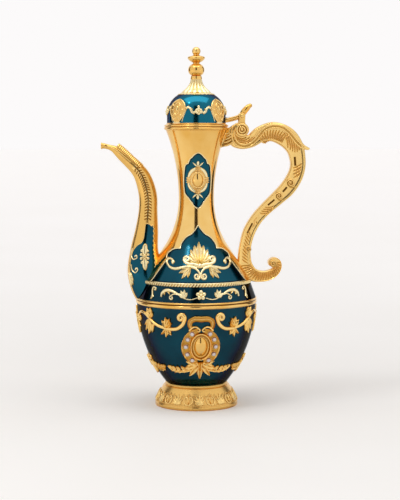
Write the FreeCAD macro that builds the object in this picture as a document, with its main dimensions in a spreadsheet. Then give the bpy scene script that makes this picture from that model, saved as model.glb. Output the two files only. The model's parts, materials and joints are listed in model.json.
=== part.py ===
import FreeCAD, Part
import math
import os
import Sketcher

# A dallah coffee pot: enamelled bowl, shoulder and neck on a cast foot, S-shaped spout and handle, hinged lid.
# Millimetres. The origin is the middle of the foot on the table, +Z up, the spout towards -X, the handle
# towards +X.

doc = FreeCAD.newDocument("dallah")
sheet = doc.addObject("Spreadsheet::Sheet", "sizes")

driving_sizes = {
    # shells
    "wall": 1.8,
    "enamel_depth": 0.6,
    "floor_thickness": 4.0,
    "spigot_depth": 3.0,
    "spigot_wall": 1.2,
    "spigot_clearance": 0.15,
    # foot
    "foot_radius": 33.0,
    "foot_rim_height": 3.0,
    "foot_top_radius": 24.5,
    "foot_height": 18.5,
    "foot_bulge": 0.6,
    "foot_wall": 2.6,
    "foot_web": 2.4,
    # body, from the foot up
    "belly_radius": 47.6,
    "belly_height": 66.0,
    "band_height": 4.6,
    "band_proud": 0.9,
    "band_zone_height": 15.5,
    "shoulder_radius": 43.2,
    "rope_wire_radius": 0.9,
    "shoulder_height": 28.0,
    "shoulder_top_radius": 25.2,
    "lower_neck_height": 38.0,
    "neck_radius": 14.1,
    "upper_neck_height": 53.5,
    "mouth_radius": 24.2,
    "collar_height": 2.6,
    "collar_edge": 0.7,
    "collar_proud": 0.8,
    # lid
    "lid_wall": 1.2,
    "lid_rim_height": 2.3,
    "lid_clearance": 1.3,
    "skirt_depth": 3.2,
    "skirt_wall": 1.0,
    "dome_radius": 23.3,
    "dome_wall_height": 7.6,
    "crown_flat": 5.3,
    # finial
    "stud_radius": 2.0,
    "stud_thread": 7.0,
    "nut_radius": 4.0,
    "nut_height": 3.0,
    "nut_overhang": 1.2,
    "bell_radius": 12.2,
    "bell_lip": 0.8,
    "bell_top_radius": 5.2,
    "bell_height": 9.2,
    "knop_neck_radius": 4.6,
    "knop_ball_radius": 6.8,
    "knop_ball_height": 12.5,
    "knop_disc_radius": 7.1,
    "knop_disc_rise": 4.6,
    "knop_disc_top": 2.4,
    "knop_tip_neck": 3.2,
    "knop_tip_radius": 4.0,
    # foot fastener
    "bolt_radius": 2.5,
    "bolt_thread": 3.0,
    "bolt_head_radius": 4.6,
    "bolt_head_height": 3.0,
    "washer_radius": 7.0,
    "washer_thickness": 1.0,
    # hinge
    "hinge_offset": 11.9,
    "hinge_rise": 8.7,
    "pin_radius": 1.1,
    "pin_clearance": 0.05,
    "ear_radius": 2.6,
    "lever_width": 4.0,
    "lever_side_clearance": 0.2,
    "thumb_width": 8.0,
    # spout
    "spout_reach": 41.0,
    "spout_rise": 94.4,
    "spout_root_radius": 13.6,
    "spout_throat_radius": 7.3,
    "spout_tip_radius": 2.6,
    "spout_wall": 1.1,
    "beak_length": 15.0,
    "strainer_hole_radius": 1.3,
    "strainer_pitch": 4.6,
    # handle
    "handle_reach": 57.2,
    "handle_width": 12.6,
    "handle_thickness": 10.0,
    "handle_round": 2.4,
    "scroll_radius": 5.5,
    "curl_radius": 6.2,
    "spur_length": 6.5,
    "spur_radius": 2.6,
    # handle fasteners
    "screw_radius": 1.5,
    "screw_depth": 5.0,
    "screw_head_radius": 2.4,
    "screw_head_height": 1.5,
    "saddle_radius": 2.8,
    "saddle_thickness": 1.2,
    # ornaments
    "neck_panel_half_width": 11.4,
    "neck_panel_half_height": 21.7,
    "neck_panel_rise": 14.3,
    "shoulder_panel_half_width": 37.6,
    "shoulder_panel_height": 44.0,
    "shoulder_panel_gap": 0.4,
    "medallion_half_width": 8.8,
    "medallion_half_height": 12.4,
    "medallion_proud": 1.0,
    "cartouche_half_width": 14.8,
    "cartouche_half_height": 16.4,
    "cartouche_rise": 34.4,
    "cartouche_proud": 1.6,
    "cabochon_half_width": 8.2,
    "cabochon_half_height": 10.8,
    "cabochon_proud": 2.2,
    "crystal_radius": 1.5,
    "crystal_seat": 0.8,
    "crystal_proud": 2.4,
    "lid_medallion_half_width": 7.0,
    "lid_medallion_half_height": 9.6,
    "lid_medallion_rise": 10.2,
    "lid_medallion_proud": 0.8,
    # raised gold work
    "relief_proud": 1.1,
    "stem_half_width": 1.0,
    "leaf_length": 10.0,
    "leaf_half_width": 1.25,
    "volute_radius": 3.6,
    "volute_eye": 1.5,
}
for row, (name, value) in enumerate(driving_sizes.items(), start=1):
    sheet.set(f"A{row}", name)
    sheet.set(f"B{row}", str(value))
    sheet.setAlias(f"B{row}", name)
doc.recompute()


class Size:
    # A length worked out from the sheet: its present value, and the expression that keeps it bound.
    def __init__(self, text, value):
        self.text = text
        self.value = value

    def combine(self, sign, other, value, turned_round=False):
        first, second = self.text, as_size(other).text
        if turned_round:
            first, second = second, first
        return Size(f"({first} {sign} {second})", value)

    def __add__(self, other):
        return self.combine("+", other, self.value + as_size(other).value)

    def __radd__(self, other):
        return self + other

    def __sub__(self, other):
        return self.combine("-", other, self.value - as_size(other).value)

    def __rsub__(self, other):
        return self.combine("-", other, as_size(other).value - self.value, turned_round=True)

    def __mul__(self, other):
        return self.combine("*", other, self.value * as_size(other).value)

    def __rmul__(self, other):
        return self * other

    def __truediv__(self, other):
        return self.combine("/", other, self.value / as_size(other).value)


def as_size(number):
    return number if isinstance(number, Size) else Size(str(number), float(number))


def root(size):
    return Size(f"sqrt({size.text})", math.sqrt(size.value))


class Sizes:
    pass


s = Sizes()
for name in driving_sizes:
    setattr(s, name, Size(f"sizes.{name}", float(getattr(sheet, name))))


def upright_arc(run, rise):
    # Radius of an arc that starts upright and moves sideways by run over the height rise.
    return (run * run + rise * rise) / (2 * run)


def bead_arc(chord, proud):
    # Radius of a bead that stands proud of its chord.
    return (proud * proud + chord * chord / 4) / (2 * proud)


# Heights, from the table up
zero = as_size(0)
belly_base_z = s.foot_height
floor_z = belly_base_z + s.floor_thickness
waist_z = belly_base_z + s.belly_height
band_low_z = waist_z - s.band_height / 2
band_top_z = waist_z + s.band_height / 2
rope_z = waist_z + s.band_zone_height
rope_low_z = rope_z - s.rope_wire_radius
rope_top_z = rope_z + s.rope_wire_radius
shoulder_top_z = rope_z + s.shoulder_height
neck_z = shoulder_top_z + s.lower_neck_height
mouth_z = neck_z + s.upper_neck_height
seat_z = mouth_z + s.collar_height
dome_z = seat_z + s.lid_rim_height
dome_bend_z = dome_z + s.dome_wall_height
crown_radius = s.dome_radius - s.crown_flat
crown_z = dome_bend_z + crown_radius
knop_z = crown_z + s.bell_height

# Arcs of the body and the places that other pieces take from it
belly_arc = upright_arc(s.belly_radius - s.foot_top_radius, s.belly_height)
lower_neck_arc = upright_arc(s.shoulder_top_radius - s.neck_radius, s.lower_neck_height)
upper_neck_arc = upright_arc(s.mouth_radius - s.neck_radius, s.upper_neck_height)
mouth_bore = s.mouth_radius - s.wall
collar_radius = s.mouth_radius + s.collar_edge
skirt_radius = mouth_bore - s.lid_clearance
hinge_x = s.mouth_radius + s.hinge_offset
hinge_z = seat_z + s.hinge_rise


def belly_radius_at(height):
    drop = waist_z - height
    return s.belly_radius - belly_arc + root(belly_arc * belly_arc - drop * drop)


def upper_neck_radius_at(height):
    climb = height - neck_z
    return s.neck_radius + upper_neck_arc - root(upper_neck_arc * upper_neck_arc - climb * climb)


def shoulder_radius_at(share):
    return s.shoulder_radius + (s.shoulder_top_radius - s.shoulder_radius) * share


def draw_outline(sketch, corners):
    # Closed outline. A corner is (across, up), or (across, up, radius, side) where an arc leads to the next,
    # with its centre to the left (+1) or right (-1) of the way round.
    ends = []
    points = [FreeCAD.Vector(corner[0].value, corner[1].value, 0) for corner in corners]
    for index, corner in enumerate(corners):
        start = points[index]
        end = points[(index + 1) % len(points)]
        if len(corner) == 2:
            edge = sketch.addGeometry(Part.LineSegment(start, end), False)
            ends.append((edge, 1, 2))
            continue
        radius, side = corner[2], corner[3]
        chord = end - start
        left = FreeCAD.Vector(-chord.y, chord.x, 0).normalize()
        offset = math.sqrt(max(radius.value ** 2 - (chord.Length / 2) ** 2, 0.0))
        centre = (start + end) * 0.5 + left * (offset * side)
        first, last = (start, end) if side > 0 else (end, start)
        angles = [math.atan2(point.y - centre.y, point.x - centre.x) for point in (first, last)]
        circle = Part.Circle(centre, FreeCAD.Vector(0, 0, 1), radius.value)
        edge = sketch.addGeometry(Part.ArcOfCircle(circle, angles[0], angles[1]), False)
        ends.append((edge, 1, 2) if side > 0 else (edge, 2, 1))
    for index, (edge, begin, finish) in enumerate(ends):
        next_edge, next_begin, next_finish = ends[(index + 1) % len(ends)]
        sketch.addConstraint(Sketcher.Constraint("Coincident", edge, finish, next_edge, next_begin))
    for corner, (edge, begin, finish) in zip(corners, ends):
        place_point(sketch, edge, begin, corner[0], corner[1])
        if len(corner) > 2:
            bind(sketch, Sketcher.Constraint("Radius", edge, corner[2].value), corner[2])


def place_point(sketch, edge, position, across, up):
    for kind, size, axis in (("DistanceX", across, -2), ("DistanceY", up, -1)):
        if size is zero:
            sketch.addConstraint(Sketcher.Constraint("PointOnObject", edge, position, axis))
        else:
            bind(sketch, Sketcher.Constraint(kind, -1, 1, edge, position, size.value), size)


def bind(sketch, constraint, size):
    index = sketch.addConstraint(constraint)
    sketch.setExpression(f"Constraints[{index}]", size.text)


def new_sketch(body, label, role):
    sketch = body.newObject("Sketcher::SketchObject", label)
    planes = [feature for feature in body.Origin.OriginFeatures if feature.Role == role]
    sketch.AttachmentSupport = [(planes[0], "")]
    sketch.MapMode = "FlatFace"
    return sketch


def turned(label, corners):
    # A piece turned about the upright axis from one outline of (radius, height) corners.
    body = doc.addObject("PartDesign::Body", label)
    sketch = new_sketch(body, label + "_profile", "XZ_Plane")
    draw_outline(sketch, corners)
    revolution = body.newObject("PartDesign::Revolution", label + "_turning")
    revolution.Profile = sketch
    revolution.ReferenceAxis = (sketch, ["V_Axis"])
    revolution.Angle = 360
    sketch.Visibility = False
    return body


def padded(body, label, corners, width):
    # A slab of the given width, centred on the plane of symmetry.
    sketch = new_sketch(body, label + "_outline", "XZ_Plane")
    draw_outline(sketch, corners)
    pad = body.newObject("PartDesign::Pad", label)
    pad.Profile = sketch
    pad.SideType = "Symmetric"
    pad.setExpression("Length", width.text)
    return pad


def drilled(body, label, role, circles, reach=None):
    # Round holes through the body, along the normal of one origin plane.
    sketch = new_sketch(body, label + "_circles", role)
    for across, up, radius in circles:
        circle = Part.Circle(FreeCAD.Vector(across.value, up.value, 0), FreeCAD.Vector(0, 0, 1), radius.value)
        edge = sketch.addGeometry(circle, False)
        place_point(sketch, edge, 3, across, up)
        bind(sketch, Sketcher.Constraint("Radius", edge, radius.value), radius)
    doc.recompute()
    before = body.Shape.Volume
    pocket = body.newObject("PartDesign::Pocket", label)
    pocket.Profile = sketch
    if reach is None:
        pocket.SideType = "Symmetric"
        pocket.Type = "ThroughAll"
    else:
        pocket.setExpression("Length", reach.text)
    doc.recompute()
    if body.Shape.Volume >= before:
        pocket.Reversed = True
        doc.recompute()
    if body.Shape.Volume >= before:
        raise RuntimeError(f"{label} cuts nothing")


def cylinder(label, radius, length, base=(zero, zero, zero), along_y=False):
    solid = doc.addObject("Part::Cylinder", label)
    solid.setExpression("Radius", radius.text)
    solid.setExpression("Height", length.text)
    if along_y:
        solid.Placement.Rotation = FreeCAD.Rotation(FreeCAD.Vector(1, 0, 0), -90)
    for axis, size in zip("xyz", base):
        solid.setExpression(f"Placement.Base.{axis}", size.text)
    return solid


def hexagon(label, radius, height, base_z):
    solid = doc.addObject("Part::Prism", label)
    solid.Polygon = 6
    solid.setExpression("Circumradius", radius.text)
    solid.setExpression("Height", height.text)
    solid.setExpression("Placement.Base.z", base_z.text)
    return solid


def box(label, low, high):
    solid = doc.addObject("Part::Box", label)
    for side, axis, start, end in zip(("Length", "Width", "Height"), "xyz", low, high):
        solid.setExpression(side, (end - start).text)
        solid.setExpression(f"Placement.Base.{axis}", start.text)
    return solid


def joined(label, first, second):
    fuse = doc.addObject("Part::Fuse", label)
    fuse.Base = first
    fuse.Tool = second
    return fuse


def cut(label, base, tool):
    result = doc.addObject("Part::Cut", label)
    result.Base = base
    result.Tool = tool
    return result


def shared(label, base, tool):
    result = doc.addObject("Part::Common", label)
    result.Base = base
    result.Tool = tool
    return result


def shaped(label, shape):
    feature = doc.addObject("Part::Feature", label)
    feature.Shape = shape
    return feature


def group(label, members):
    compound = doc.addObject("Part::Compound", label)
    compound.Links = members
    return compound


# Foot and its fastener
def make_foot():
    flare_run = s.foot_radius - s.foot_top_radius
    flare_rise = s.foot_height - s.foot_rim_height
    flare = bead_arc(root(flare_run * flare_run + flare_rise * flare_rise), s.foot_bulge)
    web_z = s.foot_height - s.foot_web
    foot = turned("foot", [
        (s.foot_radius - s.foot_wall, zero),
        (s.foot_radius, zero),
        (s.foot_radius, s.foot_rim_height, flare, 1),
        (s.foot_top_radius, s.foot_height),
        (s.bolt_radius, s.foot_height),
        (s.bolt_radius, web_z),
        (s.foot_top_radius - s.foot_wall, web_z),
    ])
    washer_z = web_z - s.washer_thickness
    washer = turned("foot_washer", [
        (s.bolt_radius, washer_z),
        (s.washer_radius, washer_z),
        (s.washer_radius, web_z),
        (s.bolt_radius, web_z),
    ])
    head_z = washer_z - s.bolt_head_height
    head = hexagon("bolt_head", s.bolt_head_radius, s.bolt_head_height, head_z)
    shank_length = s.bolt_thread + s.foot_web + s.washer_thickness + s.bolt_head_height
    shank = cylinder("bolt_shank", s.bolt_radius, shank_length, (zero, zero, head_z))
    return [foot, washer, joined("foot_bolt", head, shank)]


# Bowl and the band over its seam
def make_bowl():
    thread_z = belly_base_z + s.bolt_thread
    bowl = turned("belly_bowl", [
        (zero, thread_z),
        (s.bolt_radius, thread_z),
        (s.bolt_radius, belly_base_z),
        (s.foot_top_radius, belly_base_z, belly_arc, 1),
        (s.belly_radius, waist_z),
        (s.belly_radius - s.wall, waist_z, belly_arc, -1),
        (belly_radius_at(floor_z) - s.wall, floor_z),
        (zero, floor_z),
    ])
    edge = s.belly_radius + s.band_proud / 2
    bead = bead_arc(s.band_height / 2, s.band_proud)
    band = turned("waist_band", [
        (s.belly_radius, band_low_z),
        (edge, band_low_z, bead, 1),
        (edge, waist_z, bead, 1),
        (edge, band_top_z),
        (s.belly_radius, band_top_z),
    ])
    return [bowl, band]


# Shoulder and neck
def neck_outline(inset):
    # Outer face of the shoulder and neck, from the rope ring up to the mouth, moved inwards by inset.
    return [
        (s.shoulder_radius - inset, rope_top_z),
        (s.shoulder_top_radius - inset, shoulder_top_z, lower_neck_arc, -1),
        (s.neck_radius - inset, neck_z, upper_neck_arc, -1),
        (s.mouth_radius - inset, mouth_z),
    ]


def neck_return(inset):
    # The same face on the way down.
    return [
        (s.mouth_radius - inset, mouth_z, upper_neck_arc, 1),
        (s.neck_radius - inset, neck_z, lower_neck_arc, 1),
        (s.shoulder_top_radius - inset, shoulder_top_z),
        (s.shoulder_radius - inset, rope_top_z),
    ]


def make_shell_blank():
    spigot_outer = s.belly_radius - s.wall - s.spigot_clearance
    spigot_inner = spigot_outer - s.spigot_wall
    blank = turned("shell_blank", [
        (s.belly_radius, waist_z),
        (s.belly_radius, band_top_z),
        (s.belly_radius - s.enamel_depth, band_top_z),
        (s.shoulder_radius - s.enamel_depth, rope_low_z),
        (s.shoulder_radius, rope_low_z),
        *neck_outline(zero),
        *neck_return(s.wall),
        (s.shoulder_radius - s.wall, rope_low_z),
        (spigot_inner, band_top_z),
        (spigot_inner, waist_z - s.spigot_depth),
        (spigot_outer, waist_z - s.spigot_depth),
        (spigot_outer, waist_z),
    ])
    strainer_z = rope_z + s.shoulder_height / 3
    holes = [(zero, strainer_z, s.strainer_hole_radius)]
    for step in range(6):
        angle = math.radians(60 * step)
        across = s.strainer_pitch * round(math.cos(angle), 6)
        up = strainer_z + s.strainer_pitch * round(math.sin(angle), 6)
        holes.append((across, up, s.strainer_hole_radius))
    drilled(blank, "strainer", "YZ_Plane", holes, reach=s.belly_radius)
    return blank


def make_band_enamel():
    return turned("band_enamel", [
        (s.belly_radius - s.enamel_depth, band_top_z),
        (s.belly_radius, band_top_z),
        (s.shoulder_radius, rope_low_z),
        (s.shoulder_radius - s.enamel_depth, rope_low_z),
    ])


def make_collar():
    bead = bead_arc(s.collar_height, s.collar_proud)
    return turned("mouth_collar", [
        (mouth_bore, mouth_z),
        (collar_radius, mouth_z, bead, 1),
        (collar_radius, seat_z),
        (mouth_bore, seat_z),
    ])


# Spout
# Middle line of the spout from inside the shoulder to the tip: shares of the reach and the rise, measured from
# the middle of the shoulder, with the radius as a share of the way from throat to root, or below zero from
# throat to tip.
spout_line = [
    (-0.06, -0.17, 1.30),
    (0.17, -0.045, 1.05),
    (0.18, 0.11, 0.62),
    (0.132, 0.275, 0.31),
    (0.105, 0.44, 0.04),
    (0.107, 0.57, 0.0),
    (0.185, 0.70, -0.12),
    (0.30, 0.79, -0.32),
    (0.47, 0.875, -0.48),
    (0.64, 0.945, -0.58),
    (0.83, 0.983, -0.72),
    (1.0, 0.993, -0.98),
]
spout_sections = 16


def middle_of_shoulder():
    return shoulder_radius_at(0.5), rope_z + s.shoulder_height / 2


def spout_radius(share):
    if share >= 0:
        return s.spout_throat_radius + (s.spout_root_radius - s.spout_throat_radius) * share
    return s.spout_throat_radius + (s.spout_throat_radius - s.spout_tip_radius) * share


def spout_spine():
    root_x, root_z = middle_of_shoulder()
    points = []
    for out, climb, share in spout_line:
        x = (root_x + s.spout_reach * out) * -1
        z = root_z + s.spout_rise * climb
        points.append(FreeCAD.Vector(x.value, spout_radius(share).value, z.value))
    return smooth_line(points)


def smooth_line(points):
    # Curve in the plane of symmetry. The second coordinate carries the half width along it.
    curve = Part.BSplineCurve()
    curve.interpolate(points)
    return curve


def stations(curve, count):
    # Evenly spaced places on the curve: the point, the half width there and the direction.
    result = []
    for step in range(count):
        at = curve.FirstParameter + (curve.LastParameter - curve.FirstParameter) * step / (count - 1)
        point = curve.value(at)
        heading = curve.tangent(at)[0]
        flat = FreeCAD.Vector(heading.x, 0, heading.z).normalize()
        result.append((FreeCAD.Vector(point.x, 0, point.z), point.y, flat))
    return result


def spout_body(inset):
    rings = []
    for place, radius, heading in stations(spout_spine(), spout_sections):
        rings.append(Part.Wire(Part.makeCircle(radius - inset, place, heading)))
    return Part.makeLoft(rings, True, False, False, 3)


def make_spout(envelope):
    root_x, root_z = middle_of_shoulder()
    outer = shaped("spout_outer", spout_body(0.0))
    bore = shaped("spout_bore", spout_body(s.spout_wall.value))
    tip_x = (root_x + s.spout_reach) * -1
    lip_z = root_z + s.spout_rise - s.spout_tip_radius / 3
    far = s.spout_reach
    notch = box("beak_notch", (tip_x - far, far * -1, lip_z), (tip_x + s.beak_length, far, lip_z + far))
    tube = cut("spout_tube", outer, bore)
    opened = cut("spout_opened", tube, notch)
    return cut("spout", opened, envelope), outer


# Handle
# Middle line of the handle from inside the neck, under the scroll, over the arch and down to the curl: shares
# of the reach measured from the mouth edge, or from the rope ring for the lower rows, with the half width as a
# share.
handle_upper = [
    (-0.13, -0.14, 0.52),
    (0.04, -0.145, 0.52),
    (0.14, -0.155, 0.50),
    (0.23, -0.16, 0.47),
    (0.345, -0.138, 0.42),
    (0.475, -0.052, 0.54),
    (0.655, -0.010, 0.70),
    (0.83, -0.085, 0.70),
    (0.95, -0.230, 0.58),
    (0.995, -0.385, 0.51),
    (0.997, -0.52, 0.49),
    (0.955, -0.655, 0.50),
    (0.855, -0.81, 0.50),
    (0.715, -0.945, 0.45),
    (0.56, -1.085, 0.40),
]
handle_lower = [
    (0.09, 0.855, 0.38),
    (-0.017, 0.67, 0.39),
    (-0.07, 0.47, 0.38),
    (-0.082, 0.31, 0.42),
    (-0.06, 0.175, 0.50),
    (0.035, 0.072, 0.45),
    (0.17, 0.042, 0.37),
    (0.285, 0.062, 0.37),
    (0.345, 0.12, 0.37),
]
handle_stations = 34


def handle_spine():
    points = []
    halves = ((handle_upper, s.mouth_radius, mouth_z), (handle_lower, s.shoulder_radius, rope_z))
    for rows, start_x, start_z in halves:
        for out, climb, share in rows:
            x = start_x + s.handle_reach * out
            z = start_z + s.handle_reach * climb
            points.append(FreeCAD.Vector(x.value, (s.handle_width * share).value, z.value))
    return smooth_line(points)


def handle_arm():
    # Slab between two smooth edges on either side of the middle line, with its long edges rounded.
    half = s.handle_thickness.value / 2
    edges = []
    for side in (1, -1):
        points = []
        for place, half_width, heading in stations(handle_spine(), handle_stations):
            across = FreeCAD.Vector(-heading.z, 0, heading.x) * (half_width * side)
            points.append(place + across - FreeCAD.Vector(0, half, 0))
        edges.append(smooth_line(points).toShape())
    starts = [edge.Vertexes[0].Point for edge in edges]
    ends = [edge.Vertexes[-1].Point for edge in edges]
    caps = [Part.LineSegment(*starts).toShape(), Part.LineSegment(*ends).toShape()]
    face = Part.Face(Part.Wire(Part.__sortEdges__(edges + caps)))
    slab = face.extrude(FreeCAD.Vector(0, 2 * half, 0))
    long_edges = [edge for edge in slab.Edges if edge.Length > s.handle_reach.value]
    return slab.makeFillet(s.handle_round.value, long_edges)


def make_handle(envelope):
    half = s.handle_thickness / 2
    arm = shaped("handle_arm", handle_arm())
    scroll_z = hinge_z - s.scroll_radius * 2
    scroll = cylinder("handle_scroll", s.scroll_radius, s.handle_thickness, (hinge_x, half * -1, scroll_z),
                      True)
    ear_post = box("ear_post", (hinge_x - s.ear_radius, half * -1, scroll_z),
                   (hinge_x + s.ear_radius, half, hinge_z))
    ear_top = cylinder("ear_top", s.ear_radius, s.handle_thickness, (hinge_x, half * -1, hinge_z), True)
    curl_x = s.shoulder_radius + s.handle_reach * 0.33
    curl_z = rope_z + s.handle_reach * 0.21
    curl = cylinder("handle_curl", s.curl_radius, s.handle_thickness, (curl_x, half * -1, curl_z), True)
    spur = doc.addObject("Part::Cone", "handle_spur")
    spur.setExpression("Radius1", s.spur_radius.text)
    spur.setExpression("Radius2", (s.spur_radius / 6).text)
    spur.setExpression("Height", s.spur_length.text)
    spur.Placement.Rotation = FreeCAD.Rotation(FreeCAD.Vector(0, 1, 0), 80)
    spur.setExpression("Placement.Base.x", (s.mouth_radius + s.handle_reach * 1.035).text)
    spur.setExpression("Placement.Base.z", (mouth_z - s.handle_reach * 0.262).text)
    solid = arm
    for index, piece in enumerate((scroll, ear_post, ear_top, curl, spur)):
        solid = joined(f"handle_join_{index}", solid, piece)
    slot_half = s.lever_width / 2 + s.lever_side_clearance
    slot_floor = hinge_z - s.ear_radius - s.lever_side_clearance * 3
    far = s.handle_reach
    slot = box("ear_slot", (hinge_x - s.ear_radius * 2, slot_half * -1, slot_floor),
               (hinge_x + s.ear_radius * 2, slot_half, slot_floor + far))
    solid = cut("handle_slotted", solid, slot)
    pin = cylinder("hinge_pin", s.pin_radius, s.handle_thickness, (hinge_x, half * -1, hinge_z), True)
    solid = cut("handle_drilled", solid, pin)
    return cut("handle_fitted", solid, envelope), pin


def make_envelope():
    # Solid of the outside of the body, for fitting the spout and the handle.
    return turned("body_envelope", [
        (zero, band_low_z),
        (s.belly_radius + s.band_proud * 2, band_low_z),
        (s.belly_radius + s.band_proud * 2, band_top_z),
        (s.belly_radius, band_top_z),
        (s.shoulder_radius, rope_low_z),
        *neck_outline(zero),
        (collar_radius + s.collar_proud * 2, mouth_z),
        (collar_radius + s.collar_proud * 2, seat_z),
        (zero, seat_z),
    ])


# Lid
def make_lid():
    bead = bead_arc(s.lid_rim_height, s.collar_proud)
    rim = turned("lid_rim", [
        (skirt_radius, seat_z),
        (collar_radius, seat_z, bead, 1),
        (collar_radius, dome_z),
        (skirt_radius, dome_z),
    ])
    skirt_low_z = seat_z - s.skirt_depth
    skirt = turned("lid_skirt", [
        (skirt_radius - s.skirt_wall, skirt_low_z),
        (skirt_radius, skirt_low_z),
        (skirt_radius, dome_z),
        (skirt_radius - s.skirt_wall, dome_z),
    ])
    inner_crown_z = crown_z - s.lid_wall
    dome = turned("dome_blank", [
        (s.dome_radius - s.lid_wall, dome_z),
        (s.dome_radius, dome_z),
        (s.dome_radius, dome_bend_z, crown_radius, 1),
        (s.crown_flat, crown_z),
        (s.stud_radius, crown_z),
        (s.stud_radius, inner_crown_z),
        (s.crown_flat, inner_crown_z, crown_radius - s.lid_wall, -1),
        (s.dome_radius - s.lid_wall, dome_bend_z),
    ])
    return rim, skirt, dome


def make_finial():
    reach = s.bell_radius - s.crown_flat
    bell_low_z = dome_bend_z + root(crown_radius * crown_radius - reach * reach)
    bell_arc = upright_arc(s.bell_radius - s.bell_top_radius, knop_z - bell_low_z - s.bell_lip)
    bell = turned("finial_bell", [
        (s.stud_radius, crown_z),
        (s.crown_flat, crown_z, crown_radius, -1),
        (s.bell_radius, bell_low_z),
        (s.bell_radius, bell_low_z + s.bell_lip, bell_arc, -1),
        (s.bell_top_radius, knop_z),
        (s.stud_radius, knop_z),
    ])
    ball_top_z = knop_z + s.knop_ball_height
    disc_z = ball_top_z + s.knop_disc_rise
    tip_z = disc_z + s.knop_disc_top
    tip_drop = root(s.knop_tip_radius * s.knop_tip_radius - s.knop_tip_neck * s.knop_tip_neck)
    thread_z = knop_z + s.stud_thread
    knop = turned("finial_knop", [
        (s.stud_radius, knop_z),
        (s.knop_neck_radius, knop_z, bead_arc(s.knop_ball_height, s.knop_ball_radius - s.knop_neck_radius), 1),
        (s.knop_neck_radius, ball_top_z),
        (s.knop_disc_radius, disc_z),
        (s.knop_tip_neck, tip_z, s.knop_tip_radius, 1),
        (zero, tip_z + tip_drop + s.knop_tip_radius),
        (zero, thread_z),
        (s.stud_radius, thread_z),
    ])
    nut_z = crown_z - s.lid_wall - s.nut_height
    stud_z = nut_z - s.nut_overhang
    stud = cylinder("finial_stud", s.stud_radius, thread_z - stud_z, (zero, zero, stud_z))
    nut_bore = cylinder("nut_bore", s.stud_radius, s.nut_height, (zero, zero, nut_z))
    nut = cut("finial_nut", hexagon("nut_blank", s.nut_radius, s.nut_height, nut_z), nut_bore)
    return [bell, knop, stud, nut]


def make_lever():
    start_x = s.dome_radius - s.lid_wall
    body = doc.addObject("PartDesign::Body", "lever_blank")
    padded(body, "lever_strap", [
        (start_x, hinge_z - s.ear_radius * 1.8),
        (hinge_x - s.ear_radius * 0.4, hinge_z - s.ear_radius * 0.85, s.ear_radius, 1),
        (hinge_x + s.ear_radius * 0.95, hinge_z),
        (hinge_x + s.ear_radius * 1.9, hinge_z + s.ear_radius * 1.5),
        (hinge_x + s.ear_radius * 2.4, hinge_z + s.ear_radius * 2.9, s.ear_radius * 0.7, 1),
        (hinge_x + s.ear_radius * 1.3, hinge_z + s.ear_radius * 3.6),
        (hinge_x - s.ear_radius * 0.85, hinge_z + s.ear_radius * 1.5, s.ear_radius * 1.6, -1),
        (hinge_x - s.ear_radius * 2.0, hinge_z + s.ear_radius * 0.35),
        (start_x, hinge_z),
    ], s.lever_width)
    padded(body, "lever_thumb", [
        (hinge_x + s.ear_radius * 1.9, hinge_z + s.ear_radius * 1.5),
        (hinge_x + s.ear_radius * 2.4, hinge_z + s.ear_radius * 2.9, s.ear_radius * 0.7, 1),
        (hinge_x + s.ear_radius * 1.3, hinge_z + s.ear_radius * 3.6),
        (hinge_x + s.ear_radius * 0.3, hinge_z + s.ear_radius * 2.6),
    ], s.thumb_width)
    drilled(body, "lever_bore", "XZ_Plane", [(hinge_x, hinge_z, s.pin_radius + s.pin_clearance)])
    return body


# Enamel fields and applied ornaments
# Right half of each outline from the top down, as shares of its half width and height: after the start, each
# row has the middle of an arc, or None for a straight run, and its end.
neck_panel_side = [
    (0, 1),
    ((0.14, 0.88), (0.37, 0.825)),
    ((0.58, 0.78), (0.65, 0.677)),
    ((0.895, 0.594), (0.98, 0.456)),
    ((1.0, 0.03), (0.956, -0.405)),
    ((0.895, -0.54), (0.667, -0.622)),
    ((0.614, -0.733), (0.386, -0.797)),
    ((0.158, -0.862), (0, -1)),
]
shoulder_panel_side = [
    (0, 1),
    ((0.069, 0.92), (0.176, 0.825)),
    ((0.277, 0.752), (0.37, 0.661)),
    (None, (0.378, 0.589)),
    ((0.495, 0.58), (0.58, 0.534)),
    ((0.644, 0.48), (0.665, 0.389)),
    (None, (1, 0)),
]
faces = {"front": -1, "back": 1}
face_turns = {"front": 0, "back": 180}
crystal_angles = [-60, -30, 0, 30, 60]

# Raised gold work, as its right half. On the belly a place is a share of the radius, measured round it from
# the front, and a share of the height. On the shoulder it is a share of the panel's half width and height.
# A ribbon's row ends in a share of the stem's half width, a volute's in a share of the volute's radius. A leaf
# has its heading in degrees and a share of the leaf's length.
belly_festoon = {
    "ribbons": [[(0.266, 0.847, 1.2), (0.302, 0.783, 1.2), (0.391, 0.732, 1.1), (0.504, 0.722, 1.0),
                 (0.63, 0.732, 1.0), (0.756, 0.753, 1.0), (0.861, 0.789, 0.9), (0.966, 0.843, 0.8),
                 (1.09, 0.883, 0.8), (1.18, 0.885, 0.8)]],
    "volutes": [(0.33, 0.85, 1.0)],
    "leaves": [(0.588, 0.735, 125, 0.6), (0.588, 0.735, 92, 0.76), (0.588, 0.735, 58, 0.6),
               (0.588, 0.735, -115, 0.6), (0.588, 0.735, -60, 0.65), (0.95, 0.83, 122, 0.62),
               (0.95, 0.83, 88, 0.78), (0.95, 0.83, 52, 0.62), (0.95, 0.83, -122, 0.85),
               (0.95, 0.83, -95, 1.3), (0.95, 0.83, -68, 0.9)],
}
belly_side_spray = {
    "ribbons": [],
    "volutes": [],
    "leaves": [(0, 0.84, -90, 1.6), (0, 0.84, -70, 1.5), (0, 0.84, -48, 1.3), (0, 0.84, -28, 1.1),
               (0, 0.81, 90, 0.75), (0, 0.81, 62, 0.7)],
}
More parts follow.
